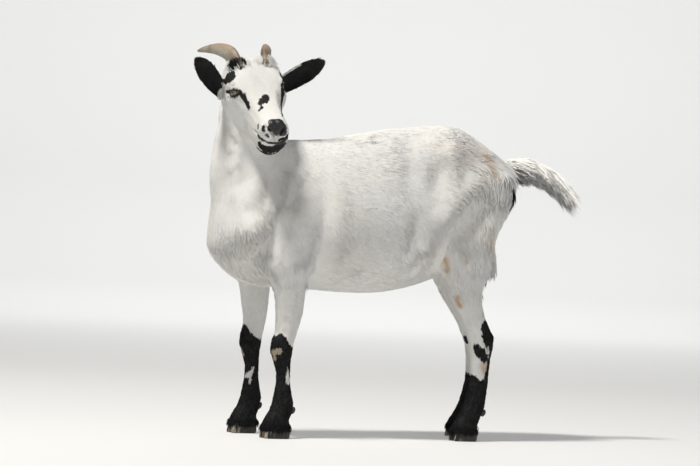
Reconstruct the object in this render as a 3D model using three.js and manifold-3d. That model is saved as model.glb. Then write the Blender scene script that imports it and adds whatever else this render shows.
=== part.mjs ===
// A young spotted doe standing square, head turned to her left, tail held out.
// Millimetres. She faces -Y, her left side is +X, +Z is up. Sizes are measured
// from the ground, z = 0, and from the middle plane of her body, x = 0.

import * as THREE from 'three';
import { LoftGeometry } from 'three/addons/geometries/LoftGeometry.js';
import { mergeVertices } from 'three/addons/utils/BufferGeometryUtils.js';
import Module from 'manifold-3d';

const wasm = await Module();
wasm.setup();

// ---------------------------------------------------------------- driving sizes

const jointGap = 0.3;                        // air between touching pieces

const headPlace = { x: 22, y: -245, z: 772 }; // crown, between the horns
const headTurn = { yaw: 3.5, pitch: 40.5, roll: 8 }; // degrees: heading +X, nose down, left side up

const eyeRadius = 14;
const eyePlace = { forward: 76, side: 48, up: -20 };

const hornRoot = { forward: 5, side: 34, up: -3, deep: 19, wide: 11.5, turned: 25 }; // place, half axes, degrees
const hornTipRadius = 2.2;
const hornTaper = 0.65;                      // below 1 the horn keeps its thickness further out

const footWidth = 47;
const cleft = 3.5;                           // gap between the two claws of a foot
const clawHeight = 21;
const toe = { narrows: 0.38, splays: 1.5, square: 2.6 }; // share lost at the tip, outward turn, corner

const dewclawSize = { wide: 5, deep: 6, tall: 9, leans: 24, apart: 11 }; // half sizes, degrees, spacing

// The right legs' joints stand this much higher than the left ones: in full
// between the pastern and a place below the top of the leg.
const rightKneeLift = { fore: 1.05, hind: 1, full: 100, fades: 150 };

const points = { trunk: 26, neck: 18, head: 22, leg: 10, tail: 12, ear: 12, horn: 10, claw: 10 };

// ---------------------------------------------------------------- shape tools

const degrees = THREE.MathUtils.degToRad;
const vec = (x, y, z) => new THREE.Vector3(x, y, z);

// Stations are named sizes at places along a part; this fills in the rings
// between them with a Catmull-Rom curve for every size.
function between(stations, steps) {
  const last = stations.length - 1;
  const rings = [];
  for (let i = 0; i <= last * steps; i++) {
    const k = Math.min(Math.floor(i / steps), last - 1);
    const t = i / steps - k;
    const ring = {};
    for (const key of Object.keys(stations[0])) {
      const at = (j) => stations[THREE.MathUtils.clamp(j, 0, last)][key];
      const [a, b, c, d] = [at(k - 1), at(k), at(k + 1), at(k + 2)];
      const slope = (c - a) / 2;
      const nextSlope = (d - b) / 2;
      const bend = 2 * (b - c) + slope + nextSlope;
      ring[key] = ((bend * t + (c - b - slope - bend)) * t + slope) * t + b;
    }
    rings.push(ring);
  }
  return rings;
}

// Rounded section: half is the half width; above and below reach up and down;
// round is 2 for an ellipse, less for a ridge, more for a box.
function oval(count, half, above, below, roundAbove = 2, roundBelow = roundAbove) {
  const outline = [];
  for (let j = 0; j < count; j++) {
    const angle = (j / count) * Math.PI * 2;
    const [c, s] = [Math.cos(angle), Math.sin(angle)];
    const power = 2 / (s > 0 ? roundAbove : roundBelow);
    const side = Math.sign(c) * Math.abs(c) ** power * half;
    const up = Math.sign(s) * Math.abs(s) ** power * (s > 0 ? above : below);
    outline.push([side, up]);
  }
  return outline;
}

// A bump or hollow: points near it move away from their ring's centre.
function swell(point, centre, bumps) {
  for (const bump of bumps) {
    const near = point.distanceTo(vec(bump.x, bump.y, bump.z)) / bump.reach;
    const way = point.clone().sub(centre).normalize();
    point.addScaledVector(way, bump.rise * Math.exp(-near * near));
  }
  return point;
}

function signedVolume(geometry) {
  const flat = geometry.toNonIndexed();
  const place = flat.attributes.position;
  let sum = 0;
  for (let i = 0; i < place.count; i += 3) {
    const [a, b, c] = [0, 1, 2].map((j) => new THREE.Vector3().fromBufferAttribute(place, i + j));
    sum += a.dot(b.cross(c)) / 6;
  }
  return sum;
}

// Closed skin through a row of sections, always facing outwards.
function loft(sections) {
  const make = () => new LoftGeometry(sections, { closed: true, capStart: true, capEnd: true });
  const geometry = make();
  if (signedVolume(geometry) > 0) return geometry;
  sections.forEach((section) => section.reverse());
  return make();
}

function merged(geometry) {
  const bare = new THREE.BufferGeometry().copy(geometry);
  bare.deleteAttribute('normal');
  bare.deleteAttribute('uv');
  return mergeVertices(bare, 1e-3);
}

// The same shape, grown by the joint gap, to cut its neighbours with.
function grown(geometry) {
  const shell = merged(geometry);
  shell.computeVertexNormals();
  const { position, normal } = shell.attributes;
  for (let i = 0; i < position.count; i++) {
    position.setXYZ(i,
      position.getX(i) + normal.getX(i) * jointGap,
      position.getY(i) + normal.getY(i) * jointGap,
      position.getZ(i) + normal.getZ(i) * jointGap);
  }
  return shell;
}

function solid(geometry) {
  const { index, attributes } = merged(geometry);
  return new wasm.Manifold(new wasm.Mesh({
    numProp: 3,
    vertProperties: Float32Array.from(attributes.position.array),
    triVerts: Uint32Array.from(index.array),
  }));
}

function geometryOf(body) {
  const { vertProperties, triVerts } = body.getMesh();
  const geometry = new THREE.BufferGeometry();
  geometry.setAttribute('position', new THREE.BufferAttribute(Float32Array.from(vertProperties), 3));
  geometry.setIndex(new THREE.BufferAttribute(Uint32Array.from(triVerts), 1));
  return geometry;
}

// What is left of a shape when its neighbours, each grown by the gap, are cut away.
function fitted(geometry, neighbours) {
  let body = solid(geometry);
  for (const neighbour of neighbours) body = body.subtract(solid(grown(neighbour)));
  const pieces = body.decompose();
  pieces.sort((a, b) => b.volume() - a.volume());
  return geometryOf(pieces[0]);
}

// ---------------------------------------------------------------- trunk

// top, bottom: back line and belly line; half: half width at the girth height.
const trunkStations = [
  { y: -307, top: 462, bottom: 404, half: 26, girth: 430, ridge: 2.0, keel: 2.0 }, // point of the breast
  { y: -297, top: 508, bottom: 374, half: 56, girth: 432, ridge: 2.0, keel: 2.0 },
  { y: -268, top: 558, bottom: 334, half: 78, girth: 436, ridge: 2.0, keel: 2.0 },
  { y: -215, top: 602, bottom: 309, half: 88, girth: 432, ridge: 1.8, keel: 1.9 },
  { y: -150, top: 618, bottom: 305, half: 92, girth: 430, ridge: 1.6, keel: 1.8 }, // withers
  { y: -85, top: 619, bottom: 302, half: 101, girth: 438, ridge: 1.7, keel: 1.9 },
  { y: -15, top: 632, bottom: 299, half: 113, girth: 442, ridge: 1.8, keel: 2.0 },
  { y: 60, top: 647, bottom: 301, half: 120, girth: 444, ridge: 1.9, keel: 2.1 },  // barrel
  { y: 130, top: 656, bottom: 315, half: 119, girth: 450, ridge: 1.9, keel: 2.1 },
  { y: 185, top: 662, bottom: 334, half: 109, girth: 480, ridge: 2.2, keel: 2.1 }, // hip bones
  { y: 222, top: 661, bottom: 352, half: 100, girth: 505, ridge: 2.3, keel: 2.0 },
  { y: 262, top: 644, bottom: 384, half: 94, girth: 515, ridge: 2.1, keel: 2.0 },
  { y: 300, top: 621, bottom: 420, half: 86, girth: 522, ridge: 2.0, keel: 2.0 },
  { y: 335, top: 598, bottom: 460, half: 66, girth: 530, ridge: 2.0, keel: 2.0 },
  { y: 356, top: 579, bottom: 484, half: 45, girth: 535, ridge: 2.0, keel: 2.0 },  // seat bones
  { y: 366, top: 554, bottom: 502, half: 18, girth: 534, ridge: 2.0, keel: 2.0 },
];

const trunkBumps = [-1, 1].flatMap((side) => [
  { x: side * 80, y: 176, z: 612, reach: 34, rise: 7 },    // hip bone
  { x: side * 104, y: 132, z: 560, reach: 48, rise: -9 },  // hollow of the flank
  { x: side * 52, y: 345, z: 560, reach: 30, rise: 4 },    // seat bone
  { x: side * 78, y: -246, z: 430, reach: 36, rise: 8 },   // point of the shoulder
]);

function makeTrunk() {
  return loft(between(trunkStations, 2).map((s) => {
    const centre = vec(0, s.y, s.girth);
    return oval(points.trunk, s.half, s.top - s.girth, s.girth - s.bottom, s.ridge, s.keel)
      .map(([side, up]) => swell(vec(side, s.y, s.girth + up), centre, trunkBumps));
  }));
}

// ---------------------------------------------------------------- neck

// Rings lean back by tilt degrees; half runs along X and deep along the leaning ring.
const neckStations = [
  { x: 0, y: -205, z: 455, tilt: 50, half: 62, deep: 104 },
  { x: 0, y: -226, z: 525, tilt: 42, half: 62, deep: 104 },  // root
  { x: -1, y: -243, z: 572, tilt: 31, half: 54, deep: 85 },
  { x: -3, y: -248, z: 615, tilt: 22, half: 46, deep: 67 },
  { x: -6, y: -246, z: 660, tilt: 12, half: 44, deep: 54 },
  { x: -12, y: -243, z: 705, tilt: 4, half: 46, deep: 46 },  // throat
  { x: -18, y: -244, z: 742, tilt: 0, half: 36, deep: 38 },
];

function makeNeck() {
  return loft(between(neckStations, 2).map((s) => oval(points.neck, s.half, s.deep, s.deep)
    .map(([side, along]) => vec(
      s.x + side,
      s.y + along * Math.cos(degrees(s.tilt)),
      s.z + along * Math.sin(degrees(s.tilt))))));
}

// ---------------------------------------------------------------- head

// In the head's own frame: X forward from the crown along the face, Y to her left,
// Z up from the face. Half widths at the brow, the cheek and the jaw.
const headStations = [
  { f: -46, top: -46, bottom: -84, brow: 14, cheek: 20, jaw: 14 },
  { f: -38, top: -28, bottom: -104, brow: 30, cheek: 36, jaw: 27 },  // nape
  { f: -16, top: -9, bottom: -118, brow: 45, cheek: 48, jaw: 36 },
  { f: 8, top: 0, bottom: -128, brow: 56, cheek: 55, jaw: 41 },      // crown
  { f: 36, top: 4, bottom: -134, brow: 60, cheek: 59, jaw: 44 },     // angle of the jaw
  { f: 58, top: 4, bottom: -135, brow: 61, cheek: 59, jaw: 43 },
  { f: 77, top: 0, bottom: -132, brow: 61, cheek: 56, jaw: 40 },     // eyes
  { f: 96, top: -4, bottom: -126, brow: 48.5, cheek: 48.5, jaw: 36 },
  { f: 118, top: -7, bottom: -117, brow: 36, cheek: 41, jaw: 31 },   // bridge of the nose
  { f: 142, top: -8, bottom: -107, brow: 31, cheek: 35.5, jaw: 27 },
  { f: 164, top: -8, bottom: -101, brow: 29, cheek: 34, jaw: 25 },   // corner of the mouth
  { f: 182, top: -9, bottom: -97, brow: 29, cheek: 32, jaw: 23 },    // nostrils
  { f: 197, top: -15, bottom: -89, brow: 26, cheek: 30, jaw: 19 },
  { f: 205, top: -27, bottom: -74, brow: 16, cheek: 20, jaw: 12 },   // lips
];

// Heights of the named widths, as shares of the depth under the top line.
const headLevels = { flat: 0.025, brow: 0.15, cheek: 0.52, jaw: 0.87 };

const flatShare = 0.66;                      // of the brow's width is nearly flat on top

function headSection({ f, top, bottom, brow, cheek, jaw }) {
  const deep = top - bottom;
  const rightSide = [
    [brow * flatShare, top - deep * headLevels.flat],
    [brow, top - deep * headLevels.brow],
    [cheek, top - deep * headLevels.cheek],
    [jaw, top - deep * headLevels.jaw],
  ];
  const leftSide = rightSide.map(([side, up]) => [-side, up]).reverse();
  const corners = [[0, top], ...rightSide, [0, bottom], ...leftSide];
  const outline = new THREE.CatmullRomCurve3(corners.map(([side, up]) => vec(f, side, up)), true);
  return Array.from({ length: points.head }, (_, j) => outline.getPoint(j / points.head));
}

const headMatrix = new THREE.Matrix4().makeRotationFromEuler(new THREE.Euler(
  degrees(headTurn.roll), degrees(headTurn.pitch), degrees(headTurn.yaw), 'ZYX'));
headMatrix.setPosition(headPlace.x, headPlace.y, headPlace.z);

function makeHead() {
  return loft(between(headStations, 2).map(headSection)).applyMatrix4(headMatrix);
}

function makeEye(side) {
  const eye = new THREE.SphereGeometry(eyeRadius, 12, 7);
  eye.translate(eyePlace.forward, side * eyePlace.side, eyePlace.up);
  return eye.applyMatrix4(headMatrix);
}

// The horn's middle line from its root: back, out to the side and up, with the
// head held level. It rises from the crown, sweeps back and spreads a little.
const hornRoute = [
  { back: -8, out: -3, up: -16 },
  { back: 0, out: 0, up: 0 },
  { back: 14, out: 4, up: 18 },
  { back: 44, out: 17, up: 31 },
  { back: 79, out: 32, up: 33.5 },
  { back: 110, out: 44, up: 31.5 },
];

const hornRise = { left: 0.8, right: 1 };     // the left one stands a little lower

function makeHorn(side) {
  const rise = side > 0 ? hornRise.left : hornRise.right;
  const level = degrees(headTurn.pitch);
  const route = new THREE.CatmullRomCurve3(hornRoute.map(({ back, out, up }) => vec(
    hornRoot.forward - back * Math.cos(level) - rise * up * Math.sin(level),
    side * (hornRoot.side + out),
    hornRoot.up - back * Math.sin(level) + rise * up * Math.cos(level))));
  const rings = 10;
  const { tangents } = route.computeFrenetFrames(rings, false);
  const sections = tangents.map((along, i) => {
    const taper = (1 - i / rings) ** hornTaper;
    const deep = hornTipRadius + (hornRoot.deep - hornTipRadius) * taper;
    const wide = hornTipRadius + (hornRoot.wide - hornTipRadius) * taper;
    const across = vec(0, 1, 0).addScaledVector(along, -along.y).normalize()
      .applyAxisAngle(along, -side * degrees(hornRoot.turned)); // the front edge faces inwards
    const up = along.clone().cross(across);
    return oval(points.horn, wide, deep, deep).map(([a, b]) => route.getPointAt(i / rings)
      .addScaledVector(across, a).addScaledVector(up, b));
  });
  return loft(sections).applyMatrix4(headMatrix);
}

// A leaf-shaped ear with its edges curled towards the side it opens to.
const earStations = [
  { along: -8, half: 14, curl: 0.9, thick: 6 },
  { along: 10, half: 16.5, curl: 0.85, thick: 5.5 },  // root
  { along: 30, half: 20.5, curl: 0.65, thick: 4.2 },
  { along: 54, half: 22.5, curl: 0.5, thick: 3.5 },
  { along: 78, half: 22.5, curl: 0.4, thick: 3 },
  { along: 97, half: 18.5, curl: 0.35, thick: 2.8 },
  { along: 110, half: 12, curl: 0.3, thick: 2.4 },
  { along: 117, half: 5, curl: 0.2, thick: 1.8 },     // tip
];

// Root, the way the ear points and the way its inside faces, in body axes, and its share of the full length.
const ears = {
  left: { root: vec(14, -194, 713), points: vec(0.26, 0.84, 0.53), opens: vec(0.9, -0.25, -0.35), long: 1.06 },
  right: { root: vec(12, -303, 701), points: vec(0.50, -0.68, 0.56), opens: vec(0.9, 0.35, -0.2), long: 0.97 },
};

function makeEar({ root, points: pointing, opens, long }) {
  const along = pointing.clone().normalize();
  const open = opens.clone().addScaledVector(along, -opens.dot(along)).normalize();
  const across = open.clone().cross(along);
  const place = new THREE.Matrix4().makeBasis(along, across, open).setPosition(root);
  const sections = between(earStations, 1).map((s) => oval(points.ear, s.half, s.thick, s.thick)
    .map(([side, thick]) => vec(s.along * long, side, thick + s.curl * side * side / s.half - s.curl * s.half / 3)));
  return loft(sections).applyMatrix4(place);
}

// ---------------------------------------------------------------- legs and feet

// front and back: places along Y at each height; x, half: centre and half width;
// round: 2 for an oval section, less where the muscle thins out over the trunk.
const foreStations = [
  { z: 590, front: -168, back: -108, x: 22, half: 14, round: 1.6 },   // top of the shoulder blade
  { z: 545, front: -212, back: -92, x: 44, half: 23, round: 1.6 },
  { z: 482, front: -248, back: -92, x: 60, half: 31, round: 1.6 },
  { z: 430, front: -259, back: -98, x: 66, half: 31, round: 1.7 },    // point of the shoulder
  { z: 390, front: -252, back: -108, x: 70, half: 29, round: 1.8 },
  { z: 352, front: -232, back: -114, x: 74, half: 26, round: 2 },
  { z: 324, front: -208, back: -117, x: 76, half: 24, round: 2.1 },
  { z: 303, front: -194, back: -123, x: 76, half: 23, round: 2.2 },   // elbow
  { z: 281, front: -190, back: -125.5, x: 76, half: 22, round: 2.2 },
  { z: 259, front: -187.5, back: -127, x: 75.5, half: 20.5, round: 2.2 },
  { z: 238, front: -186, back: -132, x: 75, half: 19, round: 2.2 },
  { z: 217, front: -186.5, back: -138, x: 75, half: 19, round: 2.2 },
  { z: 199, front: -193, back: -144.5, x: 75, half: 20.5, round: 2.3 }, // knee
  { z: 180, front: -195, back: -147, x: 75, half: 20.5, round: 2.3 },
  { z: 158, front: -188, back: -149.5, x: 75, half: 17, round: 2.2 },
  { z: 136, front: -180.5, back: -149.5, x: 75, half: 14.5, round: 2.2 }, // cannon
  { z: 114, front: -179.5, back: -149, x: 75, half: 14.5, round: 2.2 },
  { z: 94, front: -182.5, back: -145.5, x: 75, half: 17, round: 2.2 },
  { z: 74, front: -186, back: -140.5, x: 75, half: 20, round: 2.2 },  // fetlock
  { z: 56, front: -191, back: -143, x: 75, half: 21.5, round: 2.3 },
  { z: 38, front: -200.5, back: -151, x: 75, half: 22.5, round: 2.4 }, // pastern
  { z: 22, front: -206.5, back: -147, x: 75, half: 24, round: 2.5 },
  { z: 12, front: -207, back: -147, x: 75, half: 24, round: 2.5 },    // coronet
];

const hindStations = [
  { z: 612, front: 205, back: 298, x: 40, half: 22, round: 1.6 },     // top of the thigh
  { z: 560, front: 176, back: 342, x: 57, half: 36, round: 1.6 },
  { z: 514, front: 154, back: 352, x: 61, half: 43, round: 1.7 },
  { z: 487, front: 146, back: 339, x: 63, half: 45, round: 1.8 },
  { z: 461, front: 141, back: 323, x: 65, half: 44, round: 1.9 },
  { z: 438, front: 140, back: 311, x: 67, half: 41, round: 2 },
  { z: 416, front: 143, back: 303, x: 69, half: 38, round: 2.1 },
  { z: 394, front: 151, back: 304, x: 71, half: 35, round: 2.1 },     // stifle
  { z: 369, front: 167, back: 305, x: 73, half: 31, round: 2.2 },
  { z: 346, front: 181, back: 284, x: 73, half: 28, round: 2.2 },
  { z: 325, front: 192, back: 275.5, x: 73, half: 25.5, round: 2.2 },
  { z: 304, front: 201, back: 274, x: 73, half: 23, round: 2.2 },
  { z: 283, front: 212.5, back: 277, x: 72, half: 21, round: 2.2 },
  { z: 262, front: 225.5, back: 283, x: 72, half: 19, round: 2.2 },
  { z: 242, front: 236.5, back: 293, x: 72, half: 18, round: 2.2 },
  { z: 221, front: 244, back: 305.5, x: 72, half: 19.5, round: 2.2 }, // point of the hock
  { z: 200, front: 251, back: 305, x: 72, half: 19.5, round: 2.2 },
  { z: 173, front: 255, back: 300, x: 72, half: 17.5, round: 2.2 },
  { z: 147, front: 255.5, back: 298, x: 72, half: 15.5, round: 2.2 }, // cannon
  { z: 124, front: 255, back: 297, x: 72, half: 15.5, round: 2.2 },
  { z: 99, front: 250, back: 294, x: 72, half: 17.5, round: 2.2 },
  { z: 74, front: 243, back: 291, x: 72, half: 20, round: 2.2 },      // fetlock
  { z: 50, front: 233, back: 280, x: 72, half: 22, round: 2.3 },
  { z: 36, front: 224, back: 274, x: 72, half: 22.5, round: 2.4 },    // pastern
  { z: 22, front: 219, back: 274, x: 72, half: 24, round: 2.5 },
  { z: 12, front: 218, back: 274, x: 72, half: 24, round: 2.5 },      // coronet
];

const legs = {
  fore: { stations: foreStations, dewclawHeight: 58, dewclawBack: -145 },
  hind: { stations: hindStations, dewclawHeight: 60, dewclawBack: 284 },
};

// How far the right legs stand on from the left ones along Y, at rising heights.
const stagger = {
  fore: [[0, -17], [60, -15], [110, -14], [200, -13], [260, -20], [320, -22], [420, 0]],
  hind: [[0, 54], [200, 54], [250, 48], [300, 43], [360, 38], [520, 0]],
};

// The right legs' shift and joint heights; the left legs are as the stations say.
function stance(pair, side, z) {
  if (side > 0) return { shift: 0, z };
  const steps = stagger[pair];
  const next = steps.findIndex(([height]) => height > z);
  if (next < 0) return { shift: 0, z };
  const [[low, lowShift], [high, highShift]] = [steps[next - 1], steps[next]];
  const shift = THREE.MathUtils.mapLinear(z, low, high, lowShift, highShift);
  const fade = THREE.MathUtils.clamp((steps.at(-1)[0] - z) / rightKneeLift.fades, 0, 1);
  const lifted = Math.min(1, z / rightKneeLift.full) * fade;
  return { shift, z: z * (1 + (rightKneeLift[pair] - 1) * lifted) };
}

function makeLeg(pair, side) {
  return loft(legs[pair].stations.map((s) => {
    const { shift, z } = stance(pair, side, s.z);
    const middle = (s.front + s.back) / 2 + shift;
    const reach = (s.back - s.front) / 2;
    return oval(points.leg, s.half, reach, reach, s.round)
      .map(([across, along]) => vec(side * s.x + across, middle + along, z));
  }));
}

// One claw of a cloven foot: a flat sole, a pointed toe and a bulb at the heel.
const clawRings = [
  { z: 0, toe: 0, heel: -5, wide: -1.2 },
  { z: 4, toe: 0.8, heel: -2.5, wide: -0.6 },
  { z: clawHeight, toe: -4, heel: -3, wide: -2.5 },
];

function makeClaw(pair, side, inner) {
  const { stations } = legs[pair];
  const coronet = stations.at(-1);
  const { shift } = stance(pair, side, 0);
  const width = (footWidth - cleft) / 2;
  const outward = inner ? -side : side;
  return loft(clawRings.map((ring) => {
    const front = coronet.front + shift + 1 - ring.toe;
    const back = coronet.back + shift + ring.heel;
    const reach = (back - front) / 2;
    return oval(points.claw, (width + ring.wide) / 2, reach, reach, toe.square)
      .map(([across, along]) => {
        const towardsToe = Math.max(0, -along / reach);
        const narrow = 1 - toe.narrows * towardsToe ** 3;
        const x = across * narrow + outward * (width / 2 + cleft / 2 + toe.splays * towardsToe);
        return vec(side * coronet.x + x, (front + back) / 2 + along, ring.z);
      });
  }));
}

function makeDewclaw(pair, side, inner) {
  const { stations, dewclawHeight, dewclawBack } = legs[pair];
  const { shift } = stance(pair, side, 0);
  const dewclaw = new THREE.SphereGeometry(1, 7, 5);
  dewclaw.scale(dewclawSize.wide, dewclawSize.deep, dewclawSize.tall);
  dewclaw.rotateX(-degrees(dewclawSize.leans));
  const outward = inner ? -side : side;
  const x = side * stations.at(-1).x + outward * dewclawSize.apart;
  dewclaw.translate(x, dewclawBack + shift, dewclawHeight);
  return dewclaw;
}

// ---------------------------------------------------------------- tail

const tailStations = [
  { y: 318, z: 560, tilt: 0, half: 20, deep: 26 },
  { y: 352, z: 557, tilt: 4, half: 24, deep: 35 },    // root
  { y: 384, z: 565, tilt: 4, half: 21, deep: 32 },
  { y: 412, z: 575, tilt: -4, half: 20, deep: 28 },
  { y: 437, z: 574, tilt: -22, half: 19, deep: 30 },
  { y: 459, z: 558, tilt: -38, half: 17, deep: 38 },
  { y: 482, z: 541, tilt: -46, half: 14, deep: 38 },
  { y: 505, z: 519, tilt: -48, half: 9, deep: 27 },
  { y: 521, z: 502, tilt: -48, half: 4, deep: 12 },   // brush
];

function makeTail() {
  return loft(between(tailStations, 2).map((s) => oval(points.tail, s.half, s.deep, s.deep)
    .map(([side, up]) => vec(
      side,
      s.y - up * Math.sin(degrees(s.tilt)),
      s.z + up * Math.cos(degrees(s.tilt))))));
}

// ---------------------------------------------------------------- the goat

const finishes = {
  whiteCoat: { color: 0xe9e6df, roughness: 0.9, metalness: 0 },
  blackCoat: { color: 0x15120f, roughness: 0.85, metalness: 0 },
  horn: { color: 0x9a8773, roughness: 0.6, metalness: 0 },
  hoof: { color: 0x3a342c, roughness: 0.55, metalness: 0 },
  eye: { color: 0x8b8437, roughness: 0.15, metalness: 0 },
};

const goat = new THREE.Group();

function add(name, geometry, finish) {
  geometry.computeVertexNormals();
  const mesh = new THREE.Mesh(geometry, new THREE.MeshStandardMaterial(finishes[finish]));
  mesh.name = name;
  goat.add(mesh);
}

const sides = { left: 1, right: -1 };
const trunk = makeTrunk();
const head = makeHead();
const eyes = { left: makeEye(1), right: makeEye(-1) };

add('trunk', merged(trunk), 'whiteCoat');
add('head', fitted(head, [eyes.left, eyes.right]), 'whiteCoat');
add('neck', fitted(makeNeck(), [trunk, head]), 'whiteCoat');
add('tail', fitted(makeTail(), [trunk]), 'whiteCoat');

for (const [name, side] of Object.entries(sides)) {
  add(`eye_${name}`, merged(eyes[name]), 'eye');
  add(`horn_${name}`, fitted(makeHorn(side), [head]), 'horn');
  add(`ear_${name}`, fitted(makeEar(ears[name]), [head]), 'blackCoat');
  for (const pair of Object.keys(legs)) {
    const leg = makeLeg(pair, side);
    const claws = [];
    for (const inner of [true, false]) {
      const place = `${pair}_${name}_${inner ? 'inner' : 'outer'}`;
      const claw = makeClaw(pair, side, inner);
      claws.push(claw);
      add(`claw_${place}`, merged(claw), 'hoof');
      add(`dewclaw_${place}`, fitted(makeDewclaw(pair, side, inner), [leg]), 'hoof');
    }
    add(`leg_${pair}_${name}`, fitted(leg, [trunk, ...claws]), 'whiteCoat');
  }
}

// The origin ends on the ground, under the middle of her whole length and width.
const room = new THREE.Box3().setFromObject(goat);
const middle = room.getCenter(vec(0, 0, 0));
for (const mesh of goat.children) mesh.geometry.translate(-middle.x, -middle.y, -room.min.z);

export default goat;
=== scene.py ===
import math

import bpy
import numpy as np
from mathutils import Euler, Matrix, Vector
from mathutils.kdtree import KDTree


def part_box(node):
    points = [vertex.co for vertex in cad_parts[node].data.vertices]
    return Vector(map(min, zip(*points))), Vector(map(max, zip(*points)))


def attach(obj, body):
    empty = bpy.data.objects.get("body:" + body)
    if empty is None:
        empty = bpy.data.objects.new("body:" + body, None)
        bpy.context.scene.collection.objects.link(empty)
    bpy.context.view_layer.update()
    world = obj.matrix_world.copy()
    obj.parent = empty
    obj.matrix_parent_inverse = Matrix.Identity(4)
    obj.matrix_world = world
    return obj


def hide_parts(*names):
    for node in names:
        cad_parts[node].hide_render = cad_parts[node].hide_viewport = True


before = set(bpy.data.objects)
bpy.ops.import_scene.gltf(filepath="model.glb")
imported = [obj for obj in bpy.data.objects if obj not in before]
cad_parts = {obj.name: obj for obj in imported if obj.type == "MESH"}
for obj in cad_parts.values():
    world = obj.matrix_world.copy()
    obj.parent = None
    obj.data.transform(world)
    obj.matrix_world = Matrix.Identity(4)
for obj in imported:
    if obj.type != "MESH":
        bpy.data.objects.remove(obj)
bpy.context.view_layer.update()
bpy.ops.object.select_all(action="DESELECT")

trunkLow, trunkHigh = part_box("trunk")
bodyStart = 0.307    # from the point of the breast back to the sketch's zero
bodyZero = np.array([(trunkLow.x + trunkHigh.x) / 2, trunkLow.y + bodyStart, 0.0])

headPose = {"crown": (0.022, -0.245, 0.772), "roll": 8.0, "pitch": 40.5, "yaw": 3.5}
headZero = bodyZero + np.array(headPose["crown"])
headTurn = np.array(Euler([math.radians(headPose[k]) for k in ("roll", "pitch", "yaw")]).to_matrix())


def toHead(points):
    return (np.asarray(points) - headZero) @ headTurn    # forward, to her left, up


def fromHead(points):
    return np.asarray(points) @ headTurn.T + headZero


def unit(v):
    return v / np.maximum(np.linalg.norm(v, axis=-1, keepdims=True), 1e-12)


def smoothStep(x, low, high):
    t = np.clip((x - low) / (high - low), 0, 1)
    return t * t * (3 - 2 * t)


def bell(points, centre, reach):
    d = (points - np.asarray(centre)) / np.asarray(reach)
    return np.exp(-(d * d).sum(-1))


def addObject(name, data):
    piece = bpy.data.objects.new(name, data)
    bpy.context.collection.objects.link(piece)
    return piece


# where the camera stands from the body's zero, and how many pixels a metre takes there
camera = {
    "azimuth": 68.0, "height": 0.4255, "away": 6.5, "roll": 2.4,
    "pixelsPerMetre": 479.0, "wide": 700, "sensor": 36, "farthest": 60,
}


def makeCamera():
    a = math.radians(camera["azimuth"])
    r = math.radians(camera["roll"])
    back = Vector((math.sin(a), -math.cos(a), 0))
    right = Vector((math.cos(a), math.sin(a), 0))
    up = Vector((0, 0, 1))
    sight = Vector(bodyZero) + Vector((0, 0, camera["height"]))
    turnedRight = right * math.cos(r) + up * math.sin(r)
    turnedUp = up * math.cos(r) - right * math.sin(r)
    turn = Matrix((turnedRight, turnedUp, back)).transposed()
    data = bpy.data.cameras.new("camera")
    data.sensor_width = camera["sensor"]
    data.lens = camera["sensor"] * camera["pixelsPerMetre"] * camera["away"] / camera["wide"]
    data.clip_end = camera["farthest"]
    eye = addObject("camera", data)
    eye.matrix_world = Matrix.Translation(sight + back * camera["away"]) @ turn.to_4x4()
    bpy.context.scene.camera = eye


studio = {
    "lamps": {
        "key": {"place": (0.84, -2.24, 5.5), "size": 0.9, "power": 330, "colour": (1.0, 0.975, 0.93)},
        "fill": {"place": (4.2, 3.2, 2.5), "size": 3.5, "power": 30, "colour": (0.95, 0.97, 1.0)},
        "back": {"place": (-4.0, 2.0, 3.2), "size": 3.0, "power": 25, "colour": (1.0, 1.0, 1.0)},
        "wall": {"place": (-6.5, 2.6, 5.5), "size": 4.0, "power": 330, "colour": (1.0, 1.0, 1.0),
                 "aim": (-12.0, 4.8, 0.8)},
    },
    "aim": (0, 0, 0.45),    # for a lamp that has none of its own
    "sky": (0.94, 0.96, 1.0, 1), "skyStrength": 0.13,
    # the floor's outline from the middle out, and how many sides it has
    "sweep": [(0, 0), (3, 0), (8, 0), (10.2, 0.12), (11.8, 0.7), (12.9, 1.9), (13.5, 3.6), (13.7, 6.0)],
    "sides": 96,
    "paper": {"Base Color": (0.66, 0.66, 0.65, 1), "Roughness": 0.95, "Specular IOR Level": 0.1,
              "Emission Color": (0.66, 0.66, 0.65, 1), "Emission Strength": 0.27},
}


def makeSweep():    # floor that curves up into a wall all round
    around = studio["sides"]
    points, faces = [(0, 0, 0)], []
    for radius, high in studio["sweep"][1:]:
        for k in range(around):
            angle = 2 * math.pi * k / around
            points.append((radius * math.cos(angle), radius * math.sin(angle), high))
    for k in range(around):
        faces.append((0, 1 + k, 1 + (k + 1) % around))
        for ring in range(len(studio["sweep"]) - 2):
            a, b = 1 + ring * around, 1 + (ring + 1) * around
            faces.append((a + k, b + k, b + (k + 1) % around, a + (k + 1) % around))
    mesh = bpy.data.meshes.new("floor")
    mesh.from_pydata(points, [], faces)
    mesh.polygons.foreach_set("use_smooth", [True] * len(faces))
    floor = addObject("floor", mesh)
    paper = bpy.data.materials.new("paper")
    paper.use_nodes = True
    for socket, value in studio["paper"].items():
        paper.node_tree.nodes["Principled BSDF"].inputs[socket].default_value = value
    mesh.materials.append(paper)


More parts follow.
